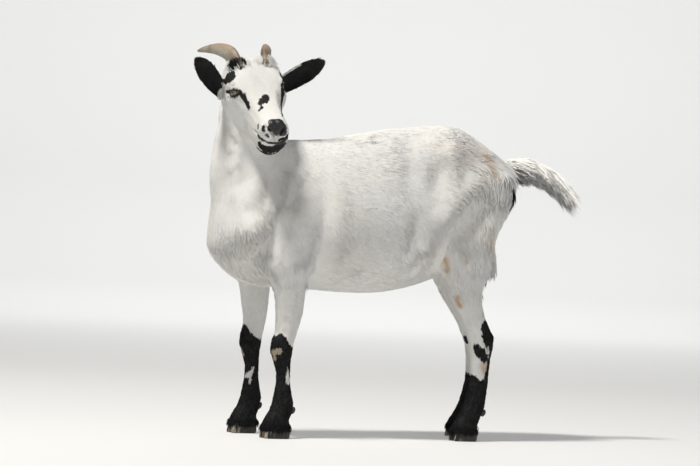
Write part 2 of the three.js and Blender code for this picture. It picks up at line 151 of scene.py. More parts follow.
def makeStudio():
    for name, lamp in studio["lamps"].items():
        data = bpy.data.lights.new(name, "AREA")
        data.shape = "DISK"
        data.size = lamp["size"]
        data.energy = lamp["power"]
        data.color = lamp["colour"]
        light = addObject(name, data)
        light.location = lamp["place"]
        aim = Vector(lamp.get("aim", studio["aim"])) - light.location
        light.rotation_euler = aim.to_track_quat("-Z", "Y").to_euler()
    world = bpy.data.worlds.new("studio")
    world.use_nodes = True
    sky = world.node_tree.nodes["Background"]
    sky.inputs["Color"].default_value = studio["sky"]
    sky.inputs["Strength"].default_value = studio["skyStrength"]
    bpy.context.scene.world = world
    bpy.context.scene.view_settings.view_transform = "Standard"
    makeSweep()


makeCamera()
makeStudio()
print("camera and studio ready")


# one skin through all the flesh, in metres
skinSizes = {
    "voxel": 0.0025,
    "overlap": 0.0006,     # each piece grows by this much, so that they join
    "earOverlap": 0.3,     # the share of it for the ears
    "weld": 1e-5,
    "facets": 50,          # smoothing rounds over the whole body
    "broad": 110,          # and over its broad parts
    "joints": 90,          # more of them where a leg or the neck runs into the trunk
    "triangles": 186000,
}

foreLegNodes = ("leg_fore_left", "leg_fore_right")
hindLegNodes = ("leg_hind_left", "leg_hind_right")
earNodes = ("ear_left", "ear_right")
fleshNodes = ["trunk", "neck", "head", "tail", *earNodes, *foreLegNodes, *hindLegNodes]


def copyOfNode(name, newName):
    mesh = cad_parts[name].data.copy()
    mesh.materials.clear()
    return addObject(newName, mesh)


def selectOnly(piece):
    bpy.ops.object.select_all(action="DESELECT")
    piece.select_set(True)
    bpy.context.view_layer.objects.active = piece


def editAll(piece, tool, **settings):
    selectOnly(piece)
    bpy.ops.object.mode_set(mode="EDIT")
    bpy.ops.mesh.select_all(action="SELECT")
    tool(**settings)
    bpy.ops.object.mode_set(mode="OBJECT")


def weld(piece):
    editAll(piece, bpy.ops.mesh.remove_doubles, threshold=skinSizes["weld"])


def remesh(piece, voxel):
    selectOnly(piece)
    piece.data.remesh_voxel_size = voxel
    piece.data.remesh_voxel_adaptivity = 0
    bpy.ops.object.voxel_remesh()


def finishPiece(piece, material):
    selectOnly(piece)
    bpy.ops.object.shade_smooth()
    piece.data.materials.clear()
    piece.data.materials.append(material)
    return piece


def readArray(items, key, wide=1, kind=np.int32):
    values = np.empty(len(items) * wide, kind)
    items.foreach_get(key, values)
    return values.reshape(-1, wide) if wide > 1 else values


def readPoints(mesh):
    return readArray(mesh.vertices, "co", 3, np.float32).astype(float)


def writePoints(mesh, co):
    mesh.vertices.foreach_set("co", co.astype(np.float32).ravel())
    mesh.update()


def readNormals(mesh):
    return readArray(mesh.vertex_normals, "vector", 3, np.float32).astype(float)


def averager(mesh):    # gives a function that takes each point's mean over its neighbours
    ends = readArray(mesh.edges, "vertices", 2)
    count = len(mesh.vertices)
    a = np.concatenate([ends[:, 0], ends[:, 1]])
    b = np.concatenate([ends[:, 1], ends[:, 0]])
    valence = np.maximum(np.bincount(a, minlength=count), 1)[:, None]

    def average(values):
        return np.stack([np.bincount(a, column, count) for column in values[b].T], 1) / valence
    return average


def relax(points, mean, weight, times):
    for _ in range(times):
        points = points + weight * (mean(points) - points)
    return points


def makeSkinShell():
    pieces = []
    for name in fleshNodes:
        piece = copyOfNode(name, f"flesh_{name}")
        weld(piece)
        grow = skinSizes["overlap"] * (skinSizes["earOverlap"] if name in earNodes else 1)
        writePoints(piece.data, readPoints(piece.data) + readNormals(piece.data) * grow)
        pieces.append(piece)
    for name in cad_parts:
        if name.startswith(("eye", "claw")):    # closes the sockets, and fills the feet
            pieces.append(copyOfNode(name, f"inner_{name}"))
    selectOnly(pieces[0])
    for piece in pieces[1:]:
        piece.select_set(True)
    bpy.ops.object.join()
    shell = pieces[0]
    shell.name = "skin"
    shell.data.name = "skin"
    remesh(shell, skinSizes["voxel"])
    return shell


skin = makeSkinShell()
print("skin shell", len(skin.data.vertices), "points")


# finer mesh where the face needs it: (forward, side, up) in the head's own frame, and the reach, in mm
faceDetail = [
    ((180, 0, -45), 64),      # muzzle
    ((79, 55, -21), 27),      # round the eyes, and closer in
    ((79, -55, -21), 27),
    ((80, 56, -21), 21),
    ((80, -56, -21), 21),
    ((196, 0, -34), 34),      # nose and lips
]


def divideFace(piece):
    selectOnly(piece)
    mesh = piece.data
    for place, reach in faceDetail:
        local = toHead(readPoints(mesh)) * 1000
        near = ((local - np.array(place)) ** 2).sum(1) < reach ** 2
        corners = readArray(mesh.loops, "vertex_index")
        starts = readArray(mesh.polygons, "loop_start")
        whole = np.minimum.reduceat(near[corners].astype(np.int8), starts) > 0
        mesh.polygons.foreach_set("select", whole)
        within = np.repeat(whole, np.diff(np.append(starts, len(corners))))
        sides = readArray(mesh.loops, "edge_index")
        for items, touched in ((mesh.vertices, corners), (mesh.edges, sides)):
            chosen = np.zeros(len(items), bool)
            chosen[touched[within]] = True
            items.foreach_set("select", chosen)
        bpy.ops.object.mode_set(mode="EDIT")
        bpy.ops.mesh.select_mode(type="FACE")
        bpy.ops.mesh.subdivide(number_cuts=1)
        bpy.ops.object.mode_set(mode="OBJECT")


divideFace(skin)
print("face divided", len(skin.data.vertices), "points")


def nearestOf(known, points):
    tree = KDTree(len(known))
    for index, point in enumerate(known):
        tree.insert(point, index)
    tree.balance()
    return np.array([tree.find(point)[1] for point in points])


def nearestPiece(points):    # which CAD piece each point of the skin came from
    samples, owners = [], []
    spots = [(a / 5, b / 5) for a in range(6) for b in range(6 - a)]
    for index, name in enumerate(fleshNodes):
        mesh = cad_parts[name].data
        faces = readPoints(mesh)[readArray(mesh.loops, "vertex_index").reshape(-1, 3)]
        for a, b in spots:
            samples.append(faces[:, 0] * a + faces[:, 1] * b + faces[:, 2] * (1 - a - b))
            owners.append(np.full(len(faces), index))
    return np.concatenate(owners)[nearestOf(np.concatenate(samples), points)]


def nodesOf(owners):
    return {name: owners == index for index, name in enumerate(fleshNodes)}


def region(*names):
    return np.any([isNode[name] for name in names], axis=0)


def spread(values, times):
    values = np.asarray(values, float)
    if values.ndim == 1:
        return spread(values[:, None], times)[:, 0]
    for _ in range(times):
        values = 0.5 * values + 0.5 * average(values)
    return values


co = readPoints(skin.data)
average = averager(skin.data)
edges = readArray(skin.data.edges, "vertices", 2)
owner = nearestPiece(co)
# each point goes with most of its neighbours, so that no piece leaves islands in another
owner = spread(owner[:, None] == np.arange(len(fleshNodes)), 14).argmax(1)
isNode = nodesOf(owner)
isHead = isNode["head"]
isEar = region(*earNodes)
isLeg = region(*foreLegNodes, *hindLegNodes)
headShare = spread(isHead | isEar, 6)
earShare = spread(isEar, 3)
tailShare = spread(isNode["tail"], 10)


def seamMask(times, gain):
    mask = np.zeros(len(co))
    differs = owner[edges[:, 0]] != owner[edges[:, 1]]
    mask[edges[differs].ravel()] = 1
    return np.clip(spread(mask, times) * gain, 0, 1)


def roundOff(points, times, strength):
    for _ in range(times):    # there and back, so that nothing shrinks
        points = points + strength * 0.6 * (average(points) - points)
        points = points - strength * 0.62 * (average(points) - points)
    return points


co = roundOff(co, skinSizes["facets"], (1 - 0.75 * earShare)[:, None])
joints = seamMask(10, 5) * (1 - 0.8 * headShare) * smoothStep(co[:, 2], 0.10, 0.25)
co = relax(co, average, 0.55 * joints[:, None], skinSizes["joints"])
broad = isNode["trunk"] | (isNode["neck"] & (co[:, 2] < 0.66)) | (isLeg & (co[:, 2] > 0.37))
co = relax(co, average, 0.6 * spread(broad, 12)[:, None], skinSizes["broad"])
print("skin rounded off")


# forms under the coat, metres from the body's zero: middle, reach, rise; each is on both sides
bodyForms = [
    ((0.080, 0.172, 0.600), (0.030, 0.030, 0.024), 0.0060),     # hip bone
    ((0.112, 0.105, 0.555), (0.045, 0.045, 0.034), -0.0040),    # hollow under the loin
    ((0.130, 0.015, 0.430), (0.060, 0.090, 0.090), 0.0030),     # rib cage
    ((0.110, 0.128, 0.395), (0.045, 0.018, 0.036), 0.0050),     # flank fold
    ((0.110, 0.095, 0.415), (0.045, 0.016, 0.045), -0.0055),
    ((0.095, 0.172, 0.425), (0.040, 0.026, 0.050), 0.0035),     # front of the thigh
    ((0.085, 0.330, 0.570), (0.030, 0.020, 0.024), 0.0050),     # pin bone
    ((0.090, 0.255, 0.600), (0.030, 0.040, 0.020), -0.0030),    # below the croup
    ((0.090, -0.248, 0.420), (0.034, 0.026, 0.030), 0.0160),    # point of the shoulder
    ((0.085, -0.204, 0.415), (0.036, 0.013, 0.036), -0.0085),   # crease behind it
    ((0.060, -0.292, 0.455), (0.036, 0.014, 0.036), -0.0050),
    ((0.100, -0.158, 0.520), (0.040, 0.030, 0.090), 0.0065),    # shoulder blade
    ((0.100, -0.095, 0.440), (0.040, 0.022, 0.090), -0.0065),   # behind the shoulder
    ((0.100, -0.140, 0.372), (0.030, 0.024, 0.026), 0.0065),    # elbow
    ((0.035, -0.272, 0.600), (0.040, 0.012, 0.080), 0.0045),    # the neck's cord
    ((0.030, -0.300, 0.385), (0.030, 0.030, 0.030), 0.0040),    # brisket
]

# long forms: points along the middle, half width, rise
bodyLines = [
    ([(0.083, 0.277, 0.566), (0.093, 0.239, 0.541), (0.104, 0.197, 0.507), (0.113, 0.157, 0.461),
      (0.117, 0.136, 0.424)], 0.024, 0.0080),     # fold of the thigh
    ([(0.091, 0.300, 0.520), (0.102, 0.267, 0.498), (0.103, 0.236, 0.466), (0.110, 0.197, 0.433),
      (0.111, 0.171, 0.405)], 0.028, -0.0100),    # and under it
    # edge of the loin
    ([(0.060, 0.136, 0.645), (0.087, 0.121, 0.585), (0.107, 0.108, 0.501)], 0.022, 0.0026),
    ([(0.060, 0.176, 0.640), (0.087, 0.163, 0.580), (0.107, 0.150, 0.500)], 0.020, -0.0034),
    ([(0.060, -0.237, 0.600), (0.062, -0.216, 0.547), (0.072, -0.213, 0.506),
      (0.082, -0.224, 0.461)], 0.017, -0.0042),
    ([(0.062, -0.256, 0.378), (0.076, -0.235, 0.383), (0.090, -0.220, 0.400),
      (0.085, -0.206, 0.433)], 0.010, -0.0060),
    # blade's front edge
    ([(0.048, -0.177, 0.569), (0.072, -0.188, 0.518), (0.086, -0.199, 0.456)], 0.014, 0.0028),
    # cord of the neck
    ([(0.032, -0.289, 0.585), (0.043, -0.282, 0.534), (0.056, -0.284, 0.472)], 0.014, 0.0018),
    ([(0.048, -0.258, 0.600), (0.053, -0.255, 0.535), (0.070, -0.262, 0.480)], 0.018, -0.0018),
    ([(0.102, 0.073, 0.370), (0.103, 0.094, 0.379), (0.115, 0.110, 0.417)], 0.013, 0.0035),
    ([(0.016, -0.301, 0.691), (0.002, -0.292, 0.671), (0.009, -0.293, 0.650), (0.019, -0.291, 0.630),
      (0.032, -0.284, 0.611), (0.044, -0.268, 0.600)], 0.010, -0.0020),    # behind the jaw
]

# the same in the head's frame, millimetres: (forward, side, up), reach, rise
headForms = [
    ((72, 56, -4), (18, 10, 7), 2.6),       # rim over the eye
    ((93, 52, -42), (32, 9, 8), 2.2),       # cheek ridge
    ((101, 42, -27), (12, 8, 8), -2.6),     # tear hollow
    ((45, 56, -85), (28, 12, 28), 4.8),     # cheek muscle
    ((120, 38, -75), (20, 10, 18), -2.5),
    ((142, 26, -26), (22, 8, 9), -1.6),     # side of the nose bone
    ((135, 0, -8), (40, 12, 8), 1.0),       # bridge
    ((30, 0, 6), (22, 26, 10), 2.0),        # forehead
    ((62, 0, 2), (20, 14, 8), -1.2),
    ((46, 57, -8), (10, 7, 10), -1.8),      # temple
    ((190, 19, -45), (12, 9, 8), 2.4),      # upper lip
    ((187, 13, -68), (12, 10, 7), 1.6),     # lower lip
    ((168, 0, -97), (14, 14, 8), 2.0),      # chin
    ((193, 21, -24), (9, 6, 8), 2.6),       # wing of the nose
    ((190, 8, -12), (9, 8, 7), 3.0),
    ((202, 0, -22), (7, 9, 8), 2.6),
    ((6, 34, -2), (16, 14, 14), 2.6),       # hair round the foot of the horn
]
oneSided = [
    ((14, 54, -13), (18, 11, 14), 4.6),    # the crown is fuller on her left
    ((14, -29, 3), (11, 10, 11), 5.5),     # hair in front of each horn
    ((13, 32, 3), (11, 10, 11), 5.5),
]

# grooves: points along the middle, half width, depth, all in millimetres in the head's frame
faceGrooves = [
    {"name": "mouth", "wide": 1.8, "deep": 3.6,
     "line": [(209, 0, -52), (207, 10, -49), (205, 20, -45), (198, 29, -41), (180, 33, -43), (166, 33, -49)]},
    {"name": "nostril", "wide": 2.3, "deep": 8.5,
     "line": [(207, 5, -34), (205, 9, -28), (201, 14, -22), (195, 20, -18)]},
    {"name": "lipSplit", "wide": 1.2, "deep": 1.8,
     "line": [(207, 0, -32), (209, 0, -42), (209, 0, -52)]},
]


def followLine(points, line):    # how far off a line each point is, and its share of the way along
    best, share = np.full(len(points), 1e9), np.zeros(len(points))
    line = np.asarray(line, float)
    start, whole = 0.0, np.linalg.norm(np.diff(line, axis=0), axis=1).sum()
    for a, b in zip(line[:-1], line[1:]):
        along = b - a
        span = np.linalg.norm(along)
        t = np.clip(((points - a) @ along) / (along @ along), 0, 1)
        away = np.linalg.norm(points - a - t[:, None] * along, axis=1)
        share = np.where(away < best, (start + t * span) / whole, share)
        best = np.minimum(best, away)
        start += span
    return best, share


def vertexNormals(points):
    writePoints(skin.data, points)
    return readNormals(skin.data)


def bothSides(points, axis):    # the points as if all were on the left
    mirrored = points.copy()
    mirrored[:, axis] = np.abs(mirrored[:, axis])
    return mirrored


normals = unit(spread(vertexNormals(co), 4))
mirrored = bothSides(co - bodyZero, 0)
rise = np.zeros(len(co))
for centre, reach, height in bodyForms:
    rise += height * bell(mirrored, centre, reach)
for line, reach, height in bodyLines:
    away, share = followLine(mirrored, line)
    taper = smoothStep(share, 0, 0.28) * (1 - smoothStep(share, 0.72, 1))    # the ends run out softly
    rise += 1.1 * height * taper * np.exp(-(away / reach) ** 2)
rise *= 1 - headShare
co = co + normals * rise[:, None]

local = toHead(co) * 1000
mirrored = bothSides(local, 1)
rise = np.zeros(len(co))
for centre, reach, height in headForms:
    rise += height * bell(mirrored, centre, reach)
for centre, reach, height in oneSided:
    rise += height * bell(local, centre, reach)
co = co + normals * (rise * 0.001 * isHead)[:, None]


earPoses = {    # root in body millimetres and the way the ear points
    "ear_left": (np.array((14, -194, 713)), unit(np.array((0.26, 0.84, 0.53)))),
    "ear_right": (np.array((12, -303, 701)), unit(np.array((0.50, -0.68, 0.56)))),
}

# how deep the coat is: the skin lies this far inside the outline
coatDepth = {"trunk": 0.0020, "neck": 0.0018, "thigh": 0.0022, "leg": 0.0018,
             "head": 0.0012, "ear": 0.0009, "claw": 0.0042, "lowest": 0.003}
depth = np.full(len(co), coatDepth["trunk"])
depth[isNode["neck"]] = coatDepth["neck"]
depth[isHead] = coatDepth["head"]
depth[isEar] = coatDepth["ear"]
high = smoothStep(co[:, 2], 0.24, 0.42)
depth[isLeg] = (coatDepth["leg"] + (coatDepth["thigh"] - coatDepth["leg"]) * high)[isLeg]
depth *= smoothStep(co[:, 2], 0.034, 0.075)
depth += coatDepth["claw"] * (1 - smoothStep(co[:, 2], 0.0165, 0.027))
depth *= 1 - 0.8 * smoothStep(toHead(co)[:, 0] * 1000, 178, 196) * isHead    # short hair on the muzzle
normals = unit(spread(vertexNormals(co), 6))
co = co - normals * spread(depth, 12)[:, None]
co[:, 2] = np.maximum(co[:, 2], coatDepth["lowest"])

# the tail keeps only its dock, the rest of its outline is hair: (y, z) along it, and its radius
dockRoute = [(0.318, 0.560, 0.030), (0.350, 0.572, 0.020), (0.385, 0.579, 0.014),
             (0.415, 0.577, 0.0105), (0.440, 0.570, 0.008), (0.458, 0.561, 0.005)]
dockSteps = 60


def alongDock(points):
    route = np.array(dockRoute)
    steps = np.linspace(0, len(route) - 1, dockSteps)
    fine = np.stack([np.interp(steps, np.arange(len(route)), route[:, k]) for k in range(3)], 1)
    away = (points[:, None, 1] - fine[None, :, 0]) ** 2 + (points[:, None, 2] - fine[None, :, 1]) ** 2
    nearest = away.argmin(1)
    middle = np.stack([np.zeros(len(points)), fine[nearest, 0], fine[nearest, 1]], 1)
    return nearest / (dockSteps - 1), middle, fine[nearest, 2]


def dockFrame(points):    # share of the way along it, straight out from it, and the way it runs
    share, middle, _ = alongDock(points)
    slope = unit(np.diff(np.array(dockRoute)[:, :2], axis=0))
    part = np.minimum((share * len(slope)).astype(int), len(slope) - 1)
    axis = np.stack([0 * share, slope[part, 0], slope[part, 1]], 1)
    out = points - middle
    return share, unit(out - axis * (out * axis).sum(1)[:, None]), axis


tail = np.flatnonzero(tailShare > 0.02)
body = co[tail] - bodyZero
_, middle, radius = alongDock(body)
shrunk = middle + unit(body - middle) * radius[:, None]
share = np.clip(tailShare[tail] * 1.6, 0, 1)[:, None]
co[tail] = bodyZero + body * (1 - share) + shrunk * share


# eyelids, lips and nose, worked in the head's frame in millimetres
eyeSizes = {
    "at": {1: (69.5, 40.8, -21), -1: (73.5, 46.8, -21)}, "radius": 13.2,
    "gaze": {1: (-0.12, 0.98, 0.10), -1: (0.42, 0.90, 0.10)},
    "slant": -8,                      # degrees, the corner by the nose is the lower one
    "nose": 14.6, "temple": 16.2,     # the opening's length to each corner
    "upper": 3.7, "lower": 4.3,       # and its height above and below the middle
    "lid": 1.3, "behind": 2.6, "blend": 9.0,
    "crease": 4.6, "creaseDeep": 1.0,
}


def eyeCentre(sign):
    return np.array(eyeSizes["at"][sign]) * (1, sign, 1)


def eyeAxes(sign):
    up = np.array((0, 0, 1)) @ headTurn
    gaze = unit(np.array(eyeSizes["gaze"][sign]) * (1, sign, 1))
    high = unit(up - gaze * (up @ gaze))
    long = np.cross(high, gaze)
    long = long * np.sign(long[0])
    lean = math.radians(eyeSizes["slant"])
    return gaze, long * math.cos(lean) - high * math.sin(lean), high * math.cos(lean) + long * math.sin(lean)


def eyePlane(local, sign):    # distance from the eye's middle, and the place on the ball, along and up
    gaze, long, high = eyeAxes(sign)
    away = local - eyeCentre(sign)
    span = np.linalg.norm(away, axis=1)
    way = away / np.maximum(span, 1e-6)[:, None]
    radius = eyeSizes["radius"]
    a = radius * np.arctan2(way @ long, way @ gaze)
    b = radius * np.arcsin(np.clip(way @ high, -1, 1))
    return span, a, b


def lidLines(a):
    t = np.where(a > 0, a / eyeSizes["nose"], a / eyeSizes["temple"])
    arch = np.clip(1 - t * t, 0, 1) ** 0.72
    droop = np.where(a > 0, -1.3 * t * t, 0.5 * t * t)
    return eyeSizes["upper"] * arch + droop, -eyeSizes["lower"] * arch + droop


def lidDistance(a, b):
    high, low = lidLines(a)
    within = np.maximum(b - high, low - b)
    over = np.maximum(a - eyeSizes["nose"], -a - eyeSizes["temple"])
    past = np.hypot(np.maximum(over, 0), b - (high + low) / 2)
    return np.where(over > 0, past, within)


def shapeLids(local):
    radius = eyeSizes["radius"]
    for sign in (1, -1):
        centre = eyeCentre(sign)
        span, a, b = eyePlane(local, sign)
        gaze, long, high = eyeAxes(sign)
        facing = (local - centre) @ gaze > 0.12 * span
        near = facing & (span < radius + 16) & (np.hypot(a, b) < 26)
        q = lidDistance(a, b)
        snap = near & (np.abs(q) < 0.45)    # points close to the rim go on it
        topLine, lowLine = lidLines(a)
        closer = np.where(np.abs(b - topLine) < np.abs(b - lowLine), topLine, lowLine)
        b = np.where(snap, closer, b)
        q = np.where(snap, 0, q)
        span = np.maximum(span, radius + 0.4)
        lid = radius + eyeSizes["lid"] + 0.5 * np.exp(-((q - 1.6) / 1.3) ** 2)
        crease = eyeSizes["creaseDeep"] * np.exp(-((q - eyeSizes["crease"]) / 1.1) ** 2)
        outer = lid + (span - lid) * smoothStep(q, 1.0, eyeSizes["blend"])
        outer = outer - crease * np.where(b > 0, 1.0, 0.55)
        inner = radius + eyeSizes["lid"] - (eyeSizes["lid"] + eyeSizes["behind"]) * smoothStep(-q, 0.0, 0.9)
        reach = np.where(q < 0, inner, outer)
        flat = np.cos(b / radius)
        way = (gaze * (np.cos(a / radius) * flat)[:, None] + long * (np.sin(a / radius) * flat)[:, None]
               + high * np.sin(b / radius)[:, None])
        moved = centre + way * reach[:, None]
        weight = (near * (1 - smoothStep(np.hypot(a, b), 20, 26)))[:, None]
        local = local * (1 - weight) + moved * weight
    return local


def carve(local, normal, groove):
    line = np.array(groove["line"], float)
    for sign in (1, -1):
        away, _ = followLine(local, line * (1, sign, 1))
        cut = groove["deep"] * np.exp(-(away / groove["wide"]) ** 2)
        inward = -normal
        if groove["name"] == "nostril":
            inward = unit(inward + np.array((-1.2, -0.5 * sign, -0.3)))
        local = local + inward * cut[:, None]
    return local


local = toHead(co) * 1000
face = np.flatnonzero(headShare > 0.3)
local[face] = shapeLids(local[face])
co = fromHead(local / 1000)
normal = unit(spread(vertexNormals(co), 1)) @ headTurn
for groove in faceGrooves:
    local[face] = carve(local[face], normal[face], groove)
co = fromHead(local / 1000)

# the ears are hollow on the side that faces forwards
forward = np.array((1, 0, 0)) @ headTurn.T
for name, (root, way) in earPoses.items():
    ear = isNode[name]
    out = (co[ear] - bodyZero) * 1000 - root
    along = out @ way
    off = np.linalg.norm(out - along[:, None] * way, axis=1)
    cup = 3.0 * np.exp(-(off / 12) ** 2) * smoothStep(along, 0, 26) * (1 - smoothStep(along, 70, 108))
    cup = cup * smoothStep(vertexNormals(co)[ear] @ forward, 0.1, 0.6)
    co[ear] -= forward * cup[:, None] / 1000
writePoints(skin.data, co)
print("face, ears and tail shaped")


def thinOut(piece, triangles):
    selectOnly(piece)
    faces = sum(len(polygon.vertices) - 2 for polygon in piece.data.polygons)
    modifier = piece.modifiers.new("thinner", "DECIMATE")
    modifier.ratio = triangles / faces
    bpy.ops.object.modifier_apply(modifier=modifier.name)


thinOut(skin, skinSizes["triangles"])
fine = co
co = readPoints(skin.data)
owner = owner[nearestOf(fine, co)]
isNode = nodesOf(owner)
average = averager(skin.data)
print("skin finished", len(co), "points")


# markings and painted shade: lines through each patch with a half width at every point, in millimetres;
# head marks are (forward, side, up, half width), body marks are (side, along, high, half width)
headMarks = {
    "black": [
        [(19, -47, -7, 6.5), (15, -38, 0, 12), (15, -28, 4, 11), (14, -22, 8, 8)],    # by the right horn
        [(30, -31, 2, 4)],
        [(38, -61, -20, 8), (35, -56, -13, 11), (34, -50, -7, 8.5)],    # over the right eye
        [(47, -56, -13, 7), (45, -50, -6, 7)],
        [(56, -62, -33, 2.5), (63, -58, -28, 3.5)],
        [(86, -49, -12, 4), (97, -41, -16, 5.5), (106, -39, -19, 5), (113, -37, -21, 5.5),
         (121, -35, -26, 4.6)],
        [(129, -15, -9, 5.5), (123, -9, -7, 8)],    # on the bridge
        [(120, -3, -6, 9), (112, 1, -5, 7.5), (113, 6, -6, 4.5)], [(128, -3, -7, 4)],
        [(145, -20, -13, 3.8), (141, -16, -10, 4.4)],
        [(174, -31, -28, 3.4), (179, -31, -32, 3.0)],    # flecks by the mouth
        [(191, -26, -19, 4.2), (195, -25, -23, 5)],
        [(202, -20, -30, 3.8), (204, -17, -33, 3.2)],
        [(200, -27, -60, 9), (204, -14, -68, 11), (205, 2, -68, 12), (199, 18, -62, 12)],    # chin
        [(205, -18, -57, 2.5), (206, -4, -60, 3), (206, 10, -58, 4), (205, 22, -54, 5)],
        [(188, -14, -84, 15), (188, 12, -84, 15)], [(178, -14, -97, 13), (180, 12, -98, 13)],
        # lip on her left
        [(206, 8, -43, 3.5), (206, 16, -42, 5), (200, 26, -40, 6), (192, 30, -40, 6)],
        [(24, 62, -13, 4), (36, 60, -16, 9), (60, 56, -16, 9), (82, 49, -9, 6.5), (91, 46, -17, 8),
         (104, 41, -25, 8.5), (120, 37, -27, 8), (136, 31, -26, 7), (152, 26, -18, 5), (170, 19, -13, 2.5)],
    ],
    "lips": [[(178, -33, -42, 2.2), (192, -31, -44, 2.6), (200, -25, -45, 2.8), (204, -13, -49, 3),
              (206, 5, -52, 3.2), (205, 18, -50, 3.4), (196, 29, -45, 3)]],
    "white": [
        [(201, -27, -52, 1.6), (206, -14, -56, 1.8), (207, -2, -58, 1.4)],
    ],
    # the first grey line, along the side of the nose bridge on her left, is painted shade
    "grey": [[(98, 32, -8, 5), (118, 29, -12, 6), (140, 24, -13, 5)], [(58, -56, -12, 4), (66, -56, -8, 4)],
             [(208, -6, -40, 5), (208, 6, -41, 6)]],
    "pad": [[(189, -7, -11, 9), (189, 9, -11, 9)], [(197, -10, -17, 8.5), (197, 14, -18, 9)],
            [(204, -2, -25, 6), (205, 8, -27, 6.5), (202, 18, -28, 6)]],
}

bodyMarks = {
    "black": [
        [(85, 262, 197, 8), (87, 270, 187, 11.5), (86, 282, 173, 9)],
        [(-66, 305, 207, 9)],
        [(-90, 320, 196, 11), (-88, 330, 178, 9)],
        [(72, 333, 526, 8), (69, 341, 511, 11), (70, 337, 495, 8)],    # under the tail
        [(66, 342, 518, 8), (36, 352, 522, 11), (0, 358, 520, 13), (-36, 352, 522, 11), (-64, 342, 516, 7)],
    ],
    "white": [
        [(87, -160, 144, 1.5), (87, -160, 130, 4), (86, -157, 118, 7)],
        [(64, -158, 136, 2), (64, -157, 120, 5)],
        [(-72, -192, 118, 4), (-65, -187, 121, 6.5), (-63, -181, 129, 3.5), (-63, -179, 140, 1.5)],
        [(-63, -184, 111, 4), (-63, -186, 102, 2)],
        [(87, 287, 198, 2), (88, 290, 186, 2.4)],
        [(32, -176, 748, 7), (37, -162, 756, 5), (41, -143, 767, 3)],    # along the top of her left ear
    ],
    "grey": [
        [(0, 350, 524, 16), (0, 352, 500, 14)],
    ],
    "callus": [    # knee pads
        [(80, -191, 174, 7), (90, -180, 179, 8)], [(82, -188, 164, 6.5)],
        [(-76, -206, 172, 6), (-72, -202, 162, 6)],
    ],
    "tan": [
        [(64, 279, 597, 7), (74, 285, 574, 8)], [(84, 287, 556, 8)],
        [(105, 204, 452, 6)], [(104, 231, 459, 5)], [(93, 278, 415, 5), (92, 280, 400, 6)],
        [(92, 181, 376, 6), (88, 186, 355, 8)], [(101, 225, 377, 5)],
        [(85, 214, 300, 7), (83, 221, 286, 8)], [(85, 281, 160, 9), (84, 283, 148, 7)],
        [(-96, 236, 470, 7)], [(-92, 205, 392, 6)], [(-80, 262, 300, 6)], [(-74, 300, 574, 6)],
    ],
}

# black stockings: the height that the black reaches at each place along the leg, in millimetres
stockings = {
    "leg_fore_left": ([-190, -183, -178, -168, -161, -151, -140], [209, 212, 214, 206, 194, 186, 184]),
    "leg_fore_right": ([-206, -198, -193, -185, -173, -160], [228, 224, 213, 205, 197, 192]),
    "leg_hind_left": ([240, 258, 263, 273, 282, 292], [141, 139, 137, 127, 132, 150]),
    "leg_hind_right": ([294, 312, 317, 327, 336, 346], [136, 137, 135, 128, 134, 150]),
}
# and up the back of the hock: how far forward it comes at each height; the right hock stands further back
hockBlack = ([118, 140, 160, 176, 190, 205, 222, 242, 254, 262],
             [276, 284, 288, 290, 286, 276, 270, 269, 277, 300])
hockShift = {"leg_hind_left": 0, "leg_hind_right": 54}
hockHeights = (112, 262)
earBlack = {"ear_left": 4, "ear_right": -9}    # how far below its root the black of the ear begins
# how far past the eye's opening a marking goes, and how far from the eye's middle to look
eyeRim = {"black": (4.9, 30), "bare": (1.2, 26)}
farOff = -40.0


def patchDistance(points, marks):
    best = np.full(len(points), farOff)
    for line in marks:
        line = np.asarray(line, float)
        ends = line[1:] if len(line) > 1 else line
        for a, b in zip(line, ends):
            along = b[:3] - a[:3]
            t = np.clip(((points - a[:3]) @ along) / max(along @ along, 1e-9), 0, 1)
            away = np.linalg.norm(points - a[:3] - t[:, None] * along, axis=1)
            best = np.maximum(best, a[3] + (b[3] - a[3]) * t - away)
    return best


def softNoise(points, size, seed):
    rng = np.random.default_rng(seed)
    total = np.zeros(len(points))
    for _ in range(7):
        way = unit(rng.normal(size=3)) * (2 * math.pi / size) * rng.uniform(0.6, 1.7)
        total += np.sin(points @ way + rng.uniform(0, 2 * math.pi))
    return total / 2.6


